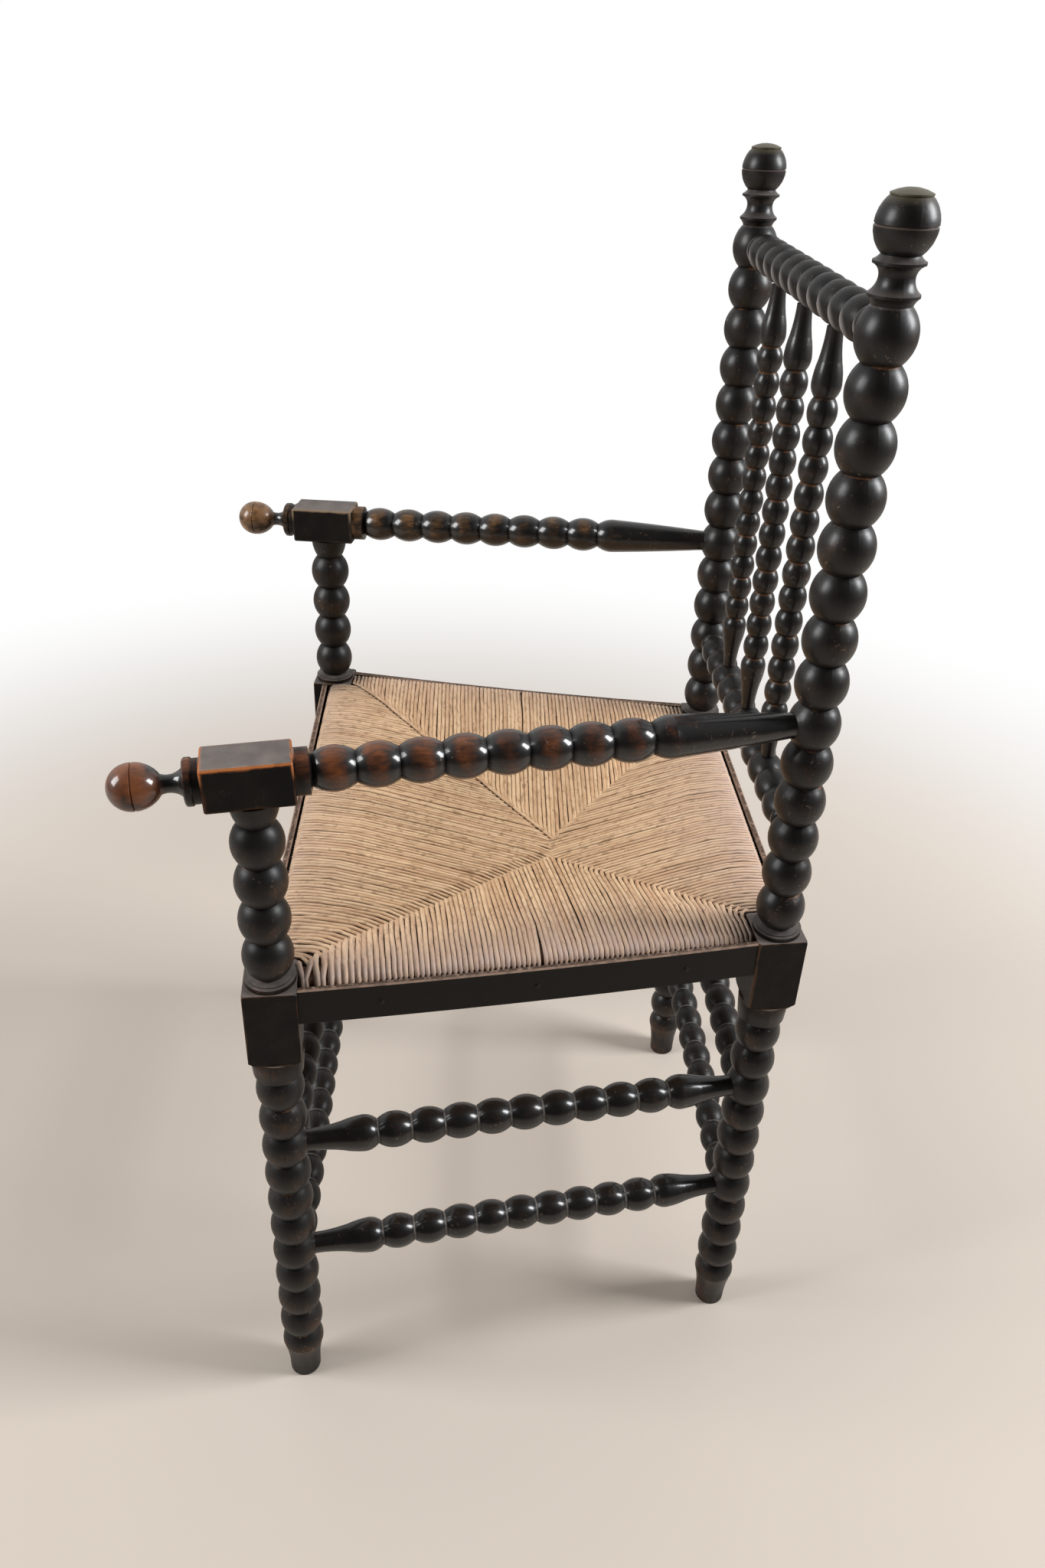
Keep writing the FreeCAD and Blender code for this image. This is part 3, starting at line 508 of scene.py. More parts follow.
def edging_wood(put):
    """Thin stained board: flat black outside and bare pinkish wood, a little chipped, along its top edge."""
    strip = bpy.context.scene.edging
    patch_size = 9 * MM
    speck_size = 3 * MM
    place = put("TexCoord", output="Object")
    facing = put("NewGeometry", output="True Normal")
    upward = put("SeparateXYZ", {0: facing}, "Z")
    patch = put("TexNoise", {"Vector": place, "Scale": 1 / patch_size, "Detail": 4.0})
    speck = put("TexNoise", {"Vector": place, "Scale": 1 / speck_size, "Detail": 3.0})
    top = put("MapRange", {"Value": upward, "From Min": 0.8, "From Max": 0.95})
    bare = put("MapRange", {"Value": upward, "From Min": 0.4, "From Max": 0.65})
    kept = put("MapRange", {"Value": patch, "From Min": 0.3, "From Max": 0.55, "To Min": 0.45})
    rubbed = put("Math", {0: bare, 1: kept}, operation="MULTIPLY")
    # Darker brown patches on the flat top beside the rush
    darkened_top = put("MapRange", {"Value": speck, "From Min": 0.7, "From Max": 0.5})
    darkened_top = put("Math", {0: top, 1: darkened_top}, operation="MULTIPLY")
    colour = put("MixRGB", {0: rubbed, 1: opaque(strip.black), 2: opaque(strip.bare)})
    colour = put("MixRGB", {0: darkened_top, 1: colour, 2: opaque(strip.dark_top)})
    dull = put("MapRange", {"Value": bare, "To Min": 0.38, "To Max": 0.75})
    bump = put("Bump", {"Height": patch, "Strength": 0.3, "Distance": 0.5 * MM})
    return put("BsdfPrincipled", {
        "Base Color": colour, "Roughness": dull, "Normal": bump, "IOR": 1.5, "Specular IOR Level": 0.15})


def bare_rail_wood(put):
    """Unfinished hardwood rail under the rush: dull, dry and browned with age."""
    strip = bpy.context.scene.edging
    grain_size = 4 * MM
    place = put("TexCoord", output="Object")
    grain = put("TexNoise", {"Vector": place, "Scale": 1 / grain_size, "Detail": 5.0})
    colour = put("MixRGB", {0: grain, 1: opaque(strip.rail_dark), 2: opaque(strip.rail_pale)})
    bump = put("Bump", {"Height": grain, "Strength": 0.4, "Distance": 0.4 * MM})
    return put("BsdfPrincipled", {"Base Color": colour, "Roughness": 0.8, "Normal": bump, "IOR": 1.5})


def forged_iron(put):
    """Old cut nails: dark iron with a little brown rust, dull from years of polish and dust."""
    strip = bpy.context.scene.edging
    rust_size = 1.5 * MM
    place = put("TexCoord", output="Object")
    rust = put("TexNoise", {"Vector": place, "Scale": 1 / rust_size, "Detail": 4.0})
    spread_rust = put("MapRange", {"Value": rust, "From Min": 0.45, "From Max": 0.65})
    colour = put("MixRGB", {0: spread_rust, 1: opaque(strip.iron), 2: opaque(strip.rust)})
    dull = put("MapRange", {"Value": rust, "To Min": 0.4, "To Max": 0.7})
    return put("BsdfPrincipled", {"Base Color": colour, "Roughness": dull, "Metallic": 0.7})


def twisted_rush(put):
    """Dry rush leaves twisted into a cord: straw and tan with darker leaves, a diagonal twist, a dull satin
    surface, grey dirt near the rails, and grime with painted shade in the corners and between the cords."""
    rush = bpy.context.scene.rush
    twist_length = 40 * MM
    fibre_length = 20.833 * MM
    tone_length = 16.667 * MM
    dash_length = 7.692 * MM
    tone_spread = 97.0
    place = put("UVMap", uv_map="cord")
    around = put("SeparateXYZ", {0: place}, "X")
    run = put("SeparateXYZ", {0: place}, "Y")
    tone, dirt, grime_and_shade = [
        put("Attribute", output="Fac", attribute_name=kind) for kind in ("tone", "dirt", "grime_and_shade")]
    lay = put("Math", {0: run, 1: 1 / twist_length, 2: around}, operation="MULTIPLY_ADD")
    own = put("Math", {0: tone, 1: tone_spread}, operation="MULTIPLY")
    leaf_place = put("CombineXYZ", {0: lay, 1: run, 2: own})

    # Fibres, tones along a leaf and short dashes, with their number in a turn of the twist. Real fibres are
    # too fine to show, so they are drawn this coarse.
    noises = []
    for in_turn, size, detail in ((4.0, fibre_length, 3.0), (0.0, tone_length, 2.0), (2.0, dash_length, 2.0)):
        vector = put("VectorMath", {0: leaf_place, 1: (in_turn, 1 / size, 1.0)}, operation="MULTIPLY")
        noises.append(put("TexNoise", {"Vector": vector, "Scale": 1.0, "Detail": detail}))
    fibre, lengths, dash = noises
    own_tone = put("Math", {0: tone, 1: 0.6}, operation="MULTIPLY")
    mixed = put("Math", {0: lengths, 1: 1.15, 2: own_tone}, operation="MULTIPLY_ADD")
    pale = put("MapRange", {"Value": mixed, "From Min": 0.5, "From Max": 1.2})
    dark = put("MapRange", {
        "Value": fibre, "From Min": 0.48, "From Max": 0.32, "To Max": 0.45}, interpolation_type="SMOOTHSTEP")
    dash = put("MapRange", {"Value": dash, "From Min": 0.58, "From Max": 0.68, "To Max": 0.6})
    colour = opaque(rush.tan)
    # The last layer is grime with painted shade in the corners and between the cords
    layers = (
        (pale, rush.pale), (dark, rush.brown), (dash, rush.brown), (dirt, rush.soil), (grime_and_shade, rush.grime_and_shade))
    for share, over in layers:
        colour = put("MixRGB", {0: share, 1: colour, 2: opaque(over)})
    ply = put("Math", {0: lay, 1: 2 * math.tau}, operation="MULTIPLY")
    ply = put("Math", {0: ply}, operation="SINE")
    relief = put("Math", {0: ply, 1: 0.1, 2: fibre}, operation="MULTIPLY_ADD")
    bump = put("Bump", {"Height": relief, "Strength": 0.4, "Distance": 0.5 * MM})
    return put("BsdfPrincipled", {"Base Color": colour, "Roughness": 0.6, "Normal": bump, "IOR": 1.45})


def shade_straw_filling(put):
    """Old stuffing that shows only between the cords, coloured dark brown as painted shade for the gaps."""
    rush = bpy.context.scene.rush
    clump_size = 3 * MM
    place = put("TexCoord", output="Object")
    clump = put("TexNoise", {"Vector": place, "Scale": 1 / clump_size, "Detail": 4.0})
    colour = put("MixRGB", {0: clump, 1: opaque(rush.deep_shaded_filling), 2: opaque(rush.shaded_filling)})
    return put("BsdfPrincipled", {"Base Color": colour, "Roughness": 0.9})


class SeatPlan:
    """Places of the rush seat, worked out from the seat rails. All lengths are in metres."""

    def __init__(self):
        rush = bpy.context.scene.rush
        self.rush = rush
        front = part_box("front_seat_rail")
        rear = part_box("rear_seat_rail")
        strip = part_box("front_edging")
        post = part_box("front_left_post")
        middle = (post[0] + post[1]) / 2
        self.layer = front[0].y - strip[1].y - rush.cord_gap
        self.radius = min(self.layer / 2 - rush.cord_gap, 0.46 * rush.cord_pitch)
        self.rail_width = front[1].y - front[0].y
        self.rail_top = front[1].z
        self.rail_bottom = front[0].z
        self.front_out = front[0].y - self.layer
        self.rear_out = rear[1].y + self.layer
        self.side_start, side_end = turning_axis("left_seat_rail")
        way = side_end - self.side_start
        self.side_slope = way.x / way.y
        self.side_cosine = 1 / math.hypot(1, self.side_slope)
        self.side_reach = self.rail_width / 2 + self.layer
        self.bridge_y = middle.y + rush.bridge_setback
        self.front_inner = middle.y + rush.block_width / 2
        rear_post_line = (rear[0].y + rear[1].y) / 2
        self.rear_inner = rear_post_line + self.rail_width / 4 - rush.block_width / 2
        self.front_rim = self.front_out + rush.rim
        self.rear_rim = self.rear_out - rush.rim
        self.front_half = middle.x - rush.block_width / 2
        self.rear_half = self.side_x(self.rear_inner, 0) - rush.block_width / 2
        self.front_corner = self.side_x(self.front_rim, self.side_reach - rush.rim)
        self.rear_corner = self.side_x(self.rear_rim, self.side_reach - rush.rim)

    def side_x(self, y, outward):
        """Distance across to a line outside the left rail's middle line, at a place along the seat."""
        on_middle = self.side_start.x + (y - self.side_start.y) * self.side_slope
        return on_middle + outward / self.side_cosine

    def sink(self, share):
        """Share of the sag: rounded over the rail, then straight down to the bridge."""
        ease = 0.24
        steep = 1 / (1 - ease / 2)
        share = min(max(share, 0.0), 1.0)
        if share < ease:
            return steep * share * share / (2 * ease)
        return steep * (share - ease / 2)

    def top(self, share):
        """Height of the middle of a top cord."""
        return self.rail_top + self.rush.cord_gap + self.radius - self.rush.top_sink * self.sink(share)

    def under(self, share):
        """Height of the middle of a cord of the underside."""
        return self.rail_bottom - self.rush.cord_gap - self.radius - self.rush.under_sink * self.sink(share)


@dataclass
class RushPanel:
    """One of the four sloping panels: where its cords start, which way they run and how their tips turn."""
    plan: SeatPlan
    name: str
    inward: Vector
    places: list
    start_of: Callable
    seam_share: Callable
    depth: float
    cosine: float
    hook_of: Callable
    soil: float
    soil_reach: float
    # Places along the rail where the cords part, and where thick cords tangle
    slit: float = None
    corner: float = None

    def share(self, run):
        """Share of the way from the rim to the bridge."""
        rim = self.plan.rush.rim
        return (run * self.cosine - rim) / (self.depth - rim)

    def run(self, share):
        """Run inward of a share."""
        rim = self.plan.rush.rim
        return (rim + share * (self.depth - rim)) / self.cosine


def spread(first, last, pitch, corner_pitch):
    """Places and widths of the cords between two ends, wider near the first end."""
    corner = 45 * MM
    widths = []
    while sum(widths) < last - first:
        widths.append(pitch + (corner_pitch - pitch) * math.exp(-(sum(widths) / corner) ** 2))
    scale = (last - first) / sum(widths)
    places = []
    edge = first
    for width in widths:
        places.append((edge + width * scale / 2, width * scale))
        edge += width * scale
    return places


def seat_panels(plan):
    """The four panels of the seat."""
    bridge = plan.rush.bridge_half
    pitch = plan.rush.cord_pitch
    front_corner_pitch = 1.15 * pitch
    near_places = spread(plan.front_inner, plan.rear_inner, pitch, plan.rush.corner_pitch)
    far_places = spread(plan.front_inner, plan.rear_inner, pitch, pitch)
    front_places = spread(-plan.front_half, plan.front_half, pitch, front_corner_pitch)
    front_places = [(-place, width) for place, width in front_places]
    rear_places = spread(-plan.rear_half, plan.rear_half, pitch, pitch)
    side_depth = (plan.side_x(plan.bridge_y, plan.side_reach) - bridge) * plan.side_cosine
    lean = plan.side_slope / 2
    lean_cosine = (1 + lean * plan.side_slope) * plan.side_cosine / math.hypot(1, lean)
    middle_slit = plan.front_inner + 176 * MM

    def end_share(corner):
        return lambda at: min(1.0, (corner - abs(at.x)) / (corner - bridge))

    def side_share(at):
        if at.y < plan.bridge_y:
            return (at.y - plan.front_rim) / (plan.bridge_y - plan.front_rim)
        return (plan.rear_rim - at.y) / (plan.rear_rim - plan.bridge_y)

    def hook(is_hooked, way):
        return lambda at: Vector(way) if is_hooked(at) else Vector()

    return (
        RushPanel(
            plan, "front", Vector((0, 1, 0)), front_places,
            start_of=lambda place: Vector((place, plan.front_out, 0)),
            seam_share=end_share(plan.front_corner), depth=plan.bridge_y - plan.front_out, cosine=1.0,
            hook_of=hook(lambda at: at.x > 0, (1, 0, 0)),
            soil=0.45, soil_reach=34 * MM, corner=plan.front_half),
        RushPanel(
            plan, "rear", Vector((0, -1, 0)), rear_places,
            start_of=lambda place: Vector((place, plan.rear_out, 0)),
            seam_share=end_share(plan.rear_corner), depth=plan.rear_out - plan.bridge_y, cosine=1.0,
            hook_of=hook(lambda at: False, (0, 0, 0)),
            soil=0.8, soil_reach=48 * MM),
        RushPanel(
            plan, "left", Vector((-1, lean, 0)).normalized(), near_places,
            start_of=lambda place: Vector((plan.side_x(place, plan.side_reach), place, 0)),
            seam_share=side_share, depth=side_depth, cosine=lean_cosine,
            hook_of=hook(lambda at: at.y > plan.bridge_y, (0, 1, 0)),
            soil=0.95, soil_reach=40 * MM, slit=middle_slit, corner=plan.front_inner),
        RushPanel(
            plan, "right", Vector((1, 0, 0)), far_places,
            start_of=lambda place: Vector((-plan.side_x(place, plan.side_reach), place, 0)),
            seam_share=side_share, depth=side_depth, cosine=plan.side_cosine,
            hook_of=hook(lambda at: at.y < plan.bridge_y, (0, 1, 0)),
            soil=0.45, soil_reach=34 * MM, slit=middle_slit),
    )


def cord_line(plan, panel, place, chance):
    """Points along the middle of one cord, from the seam below, round the rail, to the seam on top."""
    rush = plan.rush
    over_rail = 19 * MM
    tangle_reach = 17 * MM
    slit_reach = 7 * MM
    slit_length = 75 * MM
    start = panel.start_of(place)
    seam_share = 0.5
    for _ in range(6):
        seam = panel.run(seam_share)
        seam_share = panel.seam_share(start + panel.inward * seam)
    hook = panel.hook_of(start + panel.inward * seam)
    bend = rush.rail_round + rush.cord_gap + plan.radius
    centre = (plan.layer + rush.rail_round) / panel.cosine
    tip = min((14 if hook.length else 8) * MM, 0.45 * (seam - over_rail))
    phase = place / MM
    own_phase = chance.uniform(0, math.tau)
    tangle = 0.0
    if panel.corner is not None:
        tangle = math.exp(-((place - panel.corner) / tangle_reach) ** 2)

    def wander(run):
        """Sideways drift that neighbours share, none at the rail, and a cord's own waves, in millimetres."""
        distance = run / MM
        loose = min(1.0, max(0.0, (distance - 15) / 40))
        drift = 0.5 * math.sin(phase / 23 + distance / 37) + 0.4 * math.sin(phase / 11 - distance / 24 + 1.3)
        own = 0.3 * math.sin(own_phase + distance / 13)
        crossing = 1.8 * tangle * math.sin(own_phase + distance / 7)
        return (loose * (drift + own) + crossing) * MM

    def opened(run):
        """Sideways push away from the slit between two cords."""
        if panel.slit is None:
            return 0.0
        away = place - panel.slit
        reach = max(0.0, 1 - run / slit_length)
        return math.copysign(1.3 * MM, away) * math.exp(-abs(away) / slit_reach) * reach

    points = []

    def add(run, height, shift=Vector()):
        side = Vector((1, 0, 0)) if panel.slit is None else Vector((0, 1, 0))
        loose = side * (wander(run) + opened(run) + chance.gauss(0, 0.15 * MM))
        points.append(start + panel.inward * run + UP * height + loose + shift)

    # Underside, from the seam to the rail
    under_end = panel.share(seam)
    add(seam + 1.5 * MM, plan.under(under_end) + 7 * MM)
    add(seam - tip / 2, plan.under(under_end) + 0.6 * MM)
    add(plan.rail_width + plan.layer, plan.under(0))

    # Round the outside of the rail
    low_bend = plan.rail_bottom + rush.rail_round
    high_bend = plan.rail_top - rush.rail_round
    for degrees, height in ((-105, low_bend), (-160, low_bend), (155, high_bend), (115, high_bend)):
        angle = math.radians(degrees)
        add(centre + bend * math.cos(angle) / panel.cosine, height + bend * math.sin(angle))

    # Top, from the rail to near the seam
    near_seam = seam - tip
    for part in (0.0, 0.2, 0.6, 1.0):
        run = over_rail + (near_seam - over_rail) * part
        uneven = chance.gauss(0, 0.2 * MM) + tangle * chance.uniform(0, 1.5) * MM
        add(run, plan.top(panel.share(run)) + uneven)

    # Tip that dives into the seam, or turns along it first
    depth = plan.top(seam_share)
    if hook.length:
        tips = ((-0.35 * tip / MM, 0.4, 1.6), (0.8, 0.3, 5.5), (2.6, -1.5, 10.0), (3.0, -7.0, 12.5))
    else:
        tips = ((1.5, -1.0, 0.0), (5.0, -7.0, 0.0))
    for inward, rise, turned in tips:
        add(seam + inward * MM, depth + rise * MM, hook * turned * MM)
    return points


def close_tube(first, sides, runs):
    """Faces and map of a tube with flat ends, from its first point's number and the runs of its rings."""
    faces = []
    uvs = []
    for ring in range(len(runs) - 1):
        low = first + ring * sides
        for side in range(sides):
            following = (side + 1) % sides
            faces.append((low + side, low + following, low + sides + following, low + sides + side))
            uvs += [(side / sides, runs[ring]), ((side + 1) / sides, runs[ring]),
                    ((side + 1) / sides, runs[ring + 1]), (side / sides, runs[ring + 1])]
    last = first + (len(runs) - 1) * sides
    faces.append(tuple(first + side for side in reversed(range(sides))))
    faces.append(tuple(last + side for side in range(sides)))
    uvs += [(0.5, runs[0])] * sides + [(0.5, runs[-1])] * sides
    return faces, uvs


def weave_panel(plan, panel, chance):
    """Mesh of all the cords of one panel: five-sided tubes with a map along and around each cord."""
    sides = 5
    wide = 1.05
    flat = 0.9
    end_reach = 12 * MM
    dirt_start = 8 * MM
    corner_shade_start = 6 * MM
    corner_shade_reach = 15 * MM
    corner_shade_length = 30 * MM
    sideways = UP.cross(panel.inward)
    vertices = []
    faces = []
    uvs = []
    tones = []
    dirts = []
    grime_and_shade_values = []
    low_end = panel.places[0][0]
    high_end = panel.places[-1][0]
    for place, width in panel.places:
        line = cord_line(plan, panel, place, chance)
        tone = chance.random()
        thick = plan.radius * min(width / plan.rush.cord_pitch, 1.4) * chance.uniform(0.95, 1.04)
        # Strength of the painted shade on this cord's lower sides, between the cords
        between = chance.uniform(0.45, 0.85)
        to_end = min(abs(place - low_end), abs(place - high_end))
        thick *= 1 - 0.22 * math.exp(-(to_end / end_reach) ** 2)
        first = len(vertices)
        run = chance.uniform(0, 1)
        runs = []
        for index, point in enumerate(line):
            before = line[max(index - 1, 0)]
            after = line[min(index + 1, len(line) - 1)]
            along = (after - before).normalized()
            across = (sideways - along * sideways.dot(along)).normalized()
            outer = along.cross(across)
            run += (point - before).length
            runs.append(run)
            radius = thick * chance.uniform(0.95, 1.04)
            inset = (point - panel.start_of(place)).dot(panel.inward)
            fading = math.exp(-max(inset - dirt_start, 0) / panel.soil_reach)
            dirt = panel.soil * fading * chance.uniform(0.6, 1.1)
            # Darker at the panel's ends and near the rail: grime with painted shade in the corners
            grime_and_shade = 0.8 * math.exp(-(to_end / corner_shade_reach) ** 2 - max(inset - corner_shade_start, 0) / corner_shade_length)
            for side in range(sides):
                # One ridge points outward
                angle = math.tau * side / sides + math.pi / 2
                spoke = across * wide * radius * math.cos(angle)
                vertices.append(point + spoke + outer * flat * radius * math.sin(angle))
                tones.append(tone)
                dirts.append(min(dirt, 1.0))
                # Painted shade on the lower sides of each cord, between the cords, joined with the corner
                # grime
                grime_and_shade_values.append(max(grime_and_shade, between * (1 - math.sin(angle)) / 2))
        tube_faces, tube_uvs = close_tube(first, sides, runs)
        faces += tube_faces
        uvs += tube_uvs
    mesh = bpy.data.meshes.new("rush_" + panel.name + "_cords")
    mesh.from_pydata(vertices, [], faces)
    mesh.uv_layers.new(name="cord").uv.foreach_set("vector", np.array(uvs).ravel())
    for name, values in (("tone", tones), ("dirt", dirts), ("grime_and_shade", grime_and_shade_values)):
        mesh.attributes.new(name, "FLOAT", "POINT").data.foreach_set("value", values)
    mesh.shade_smooth()
    return mesh


def shade_filling_mesh(plan):
    """Closed body of stuffing between the two layers of cords, inside the rails, dark as painted shade for
    the gaps.
    """
    shares = (0.06, 0.12, 0.24, 0.6, 1.0)
    below_cords = 1.6 * MM

    def loop(share, height):
        front = plan.front_rim + (plan.bridge_y - plan.front_rim) * share
        rear = plan.rear_rim + (plan.bridge_y - plan.rear_rim) * share
        front_x = plan.front_corner + (plan.rush.bridge_half - plan.front_corner) * share
        rear_x = plan.rear_corner + (plan.rush.bridge_half - plan.rear_corner) * share
        corners = ((front_x, front), (rear_x, rear), (-rear_x, rear), (-front_x, front))
        return [(x, y, height) for x, y in corners]

    loops = [loop(share, plan.top(share) - below_cords) for share in reversed(shares)]
    loops += [loop(share, plan.under(share) + below_cords) for share in shares]
    vertices = [corner for ring in loops for corner in ring]
    faces = []
    for low in range(0, 4 * (len(loops) - 1), 4):
        for corner in range(4):
            following = (corner + 1) % 4
            faces.append((low + corner, low + 4 + corner, low + 4 + following, low + following))
    mesh = bpy.data.meshes.new("rush_shade_filling")
    mesh.from_pydata(vertices, [], faces)
    return mesh


def add_piece(mesh, material):
    """Links a finished mesh as a piece of the chair."""
    piece = bpy.data.objects.new(mesh.name, mesh)
    bpy.context.scene.collection.objects.link(piece)
    dress(piece, material)
    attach(piece, BODY)
    return piece


def close_mesh(piece):
    """Merges doubled points and turns all faces outward."""
    bpy.ops.object.select_all(action="DESELECT")
    bpy.context.view_layer.objects.active = piece
    piece.select_set(True)
    bpy.ops.object.mode_set(mode="EDIT")
    bpy.ops.mesh.select_all(action="SELECT")
    bpy.ops.mesh.remove_doubles(threshold=0.01 * MM)
    bpy.ops.mesh.normals_make_consistent(inside=False)
    bpy.ops.object.mode_set(mode="OBJECT")


def stain(nodes, look, turn=0.0):
    """Gives each turned piece its own stained finish."""
    for node in nodes:
        material = make_material("ebonised_wood_" + node, ebonised_wood, node, look, turn)
        dress(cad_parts[node], material)


class BOBBIN_OT_posts(bpy.types.Operator):
    """Stains the four posts and wears their legs, blocks and feet"""
    bl_idname = "bobbin.posts"
    bl_label = "Finish posts"
    bl_options = {"REGISTER", "UNDO"}

    def execute(self, context):
        start, end = turning_axis("left_seat_rail")
        half_turn = math.atan2(start.x - end.x, end.y - start.y) / 2
        leg_wear = ((0, 0.75), (30, 0.5), (60, 0.25), (380, 0.15))
        above_block = (466.0, 486.0)
        below_finial = (916.0, 948.0)
        post = {
            "bead": 36.4, "neck": 23.4, "dust": "tan_chip", "dust_amount": 0.65, "chip_share": 0.14,
            "block": (19.0, 398.0, 466.0), "edge": "tan_chip", "edge_wear": 0.32, "top_dust_and_sheen": 0.75}
        rear = TurnedLook(
            wear=leg_wear + ((475, 0.12), (980, 0.1)), dust_and_sheen_runs=(above_block, below_finial),
            cap=968.0, bare_ends=(0.0, 78.0), groove_below_top=18.35,
            gloss=0.42, gloss_roughness=0.32, **post)
        for side, way, rubbed in (("left", 1, 0.3), ("right", -1, 0.52)):
            front = TurnedLook(
                wear=leg_wear + ((475, rubbed), (580, rubbed), (640, 0.2)), dust_and_sheen_runs=(above_block,),
                gloss=0.35, gloss_roughness=0.38, **post)
            stain(["front_" + side + "_post"], front, way * half_turn)
            stain(["rear_" + side + "_post"], rear, way * half_turn)
        return {"FINISHED"}


class BOBBIN_OT_arms(bpy.types.Operator):
    """Stains the arms and rubs their beads, knobs and block edges brown"""
    bl_idname = "bobbin.arms"
    bl_label = "Finish arms"
    bl_options = {"REGISTER", "UNDO"}

    def execute(self, context):
        taper_wear = ((376, 0.12), (453, 0.05))
        arm = {
            "bead": 30.5, "neck": 21.0, "grain": 0.3, "grain_size": 2.6, "up_wear": 0.13, "knob_length": 36.0,
            "block": (16.0, 57.5, 115.0), "edge_wear": 0.9, "edge_width": 0.9, "edge_above": True,
            "top_dust_and_sheen": 0.9, "bare_ends": (126.0, 102.0), "gloss": 0.95}
        near = TurnedLook(
            wear=((0, 0.7), (34, 0.6), (40, 0.05), (46, 0.12), (57, 0.12), (116, 0.26), (126, 0.26),
                  (130, 0.52), (351, 0.48)) + taper_wear,
            tones=("rubbed_brown", "orange"), edge="orange_edge", knob="red_knob",
            gloss_roughness=0.15, **arm)
        far = TurnedLook(
            wear=((0, 0.9), (34, 0.8), (40, 0.05), (46, 0.16), (57, 0.16), (116, 0.34), (126, 0.34),
                  (130, 0.34), (351, 0.3)) + taper_wear,
            tones=("olive", "olive_tan"), knob="tan_knob", gloss_roughness=0.18, **arm)
        stain(["left_arm"], near)
        stain(["right_arm"], far)
        return {"FINISHED"}


class BOBBIN_OT_stretchers(bpy.types.Operator):
    """Stains the stretchers and leaves pale dust in their notches"""
    bl_idname = "bobbin.stretchers"
    bl_label = "Finish stretchers"
    bl_options = {"REGISTER", "UNDO"}

    def execute(self, context):
        side = TurnedLook(
            bead=28.6, neck=19.4, wear=((0, 0.1), (400, 0.1)), dust_amount=0.85, dust_height=0.75,
            bare_ends=(62.0, 62.0), gloss=0.8, gloss_roughness=0.2)
        cross = TurnedLook(
            bead=28.0, neck=19.0, wear=((0, 0.12), (400, 0.12)), dust_amount=0.35,
            bare_ends=(24.0, 24.0), gloss=0.25, gloss_roughness=0.36)
        for level in ("upper", "lower"):
            stain([name + "_" + level + "_stretcher" for name in ("left", "right")], side)
            stain([name + "_" + level + "_stretcher" for name in ("front", "rear")], cross)
        return {"FINISHED"}


class BOBBIN_OT_back(bpy.types.Operator):
    """Stains the rails and the spindles of the back"""
    bl_idname = "bobbin.back"
    bl_label = "Finish back"
    bl_options = {"REGISTER", "UNDO"}

    def execute(self, context):
        # The rails get a painted sheen, a pale reflection painted on their faces that look down to the front
        rail = TurnedLook(
            bead=28.0, neck=19.0, wear=((0, 0.1), (400, 0.1)), dust="tan_chip", dust_amount=0.3,
            chip_share=0.4, bare_ends=(24.0, 24.0), painted_sheen=0.85, gloss=0.3, gloss_roughness=0.3)
        spindle = TurnedLook(
            bead=20.4, neck=14.0, wear=((0, 0.15), (400, 0.15)), dust="tan_chip", dust_amount=0.5,
            chip_share=0.4, bare_ends=(50.0, 50.0), gloss=0.6, gloss_roughness=0.22)
        stain(("crest_rail", "lower_back_rail"), rail)
        stain([name + "_spindle" for name in ("left", "centre", "right")], spindle)
        return {"FINISHED"}


class BOBBIN_OT_edging(bpy.types.Operator):
    """Stains the edging strips, bares their top edges and darkens their nails"""
    bl_idname = "bobbin.edging"
    bl_label = "Finish edging"
    bl_options = {"REGISTER", "UNDO"}

    def execute(self, context):
        stained = make_material("stained_edging_wood", edging_wood)
        bare = make_material("bare_rail_wood", bare_rail_wood)
        for side in ("front", "left", "rear", "right"):
            dress(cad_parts[side + "_edging"], stained)
            dress(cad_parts[side + "_seat_rail"], bare)
        dress(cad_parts["edging_nails"], make_material("forged_nail_iron", forged_iron))
        return {"FINISHED"}


class BOBBIN_OT_rush(bpy.types.Operator):
    """Weaves the rush seat over its rails and fills it"""
    bl_idname = "bobbin.rush"
    bl_label = "Weave rush seat"
    bl_options = {"REGISTER", "UNDO"}

    def execute(self, context):
        chance = random.Random(context.scene.rush.seed)
        plan = SeatPlan()
        cords = make_material("twisted_dry_rush", twisted_rush)
        pieces = [add_piece(weave_panel(plan, panel, chance), cords) for panel in seat_panels(plan)]
        # Dark stuffing under the cords, a body that stands in for the shade in the gaps
        stuffing = make_material("shade_straw_filling", shade_straw_filling)
        shaded_filling = add_piece(shade_filling_mesh(plan), stuffing)
        close_mesh(shaded_filling)
        for piece in pieces + [shaded_filling]:
            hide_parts("rush_seat")
        return {"FINISHED"}


def floor_finish(put):
    """Smooth pale screed: dull and warm grey near the chair, fading to a white ground further away."""
    stage = bpy.context.scene.stage
    place = put("TexCoord", output="Object")
    distance = put("VectorMath", {0: place}, "Value", operation="LENGTH")
    far = put("MapRange", {
        "Value": distance, "From Min": 0.7, "From Max": 1.7}, interpolation_type="SMOOTHSTEP")
    screed = put("BsdfPrincipled", {
        "Base Color": opaque(stage.floor), "Roughness": 0.8, "Specular IOR Level": 0.2})
    white = put("Emission", {"Color": (1, 1, 1, 1), "Strength": 1.0})
    camera = put("LightPath", output="Is Camera Ray")
    blend = put("Math", {0: camera, 1: far}, operation="MULTIPLY")
    return put("MixShader", {0: blend, 1: screed, 2: white})


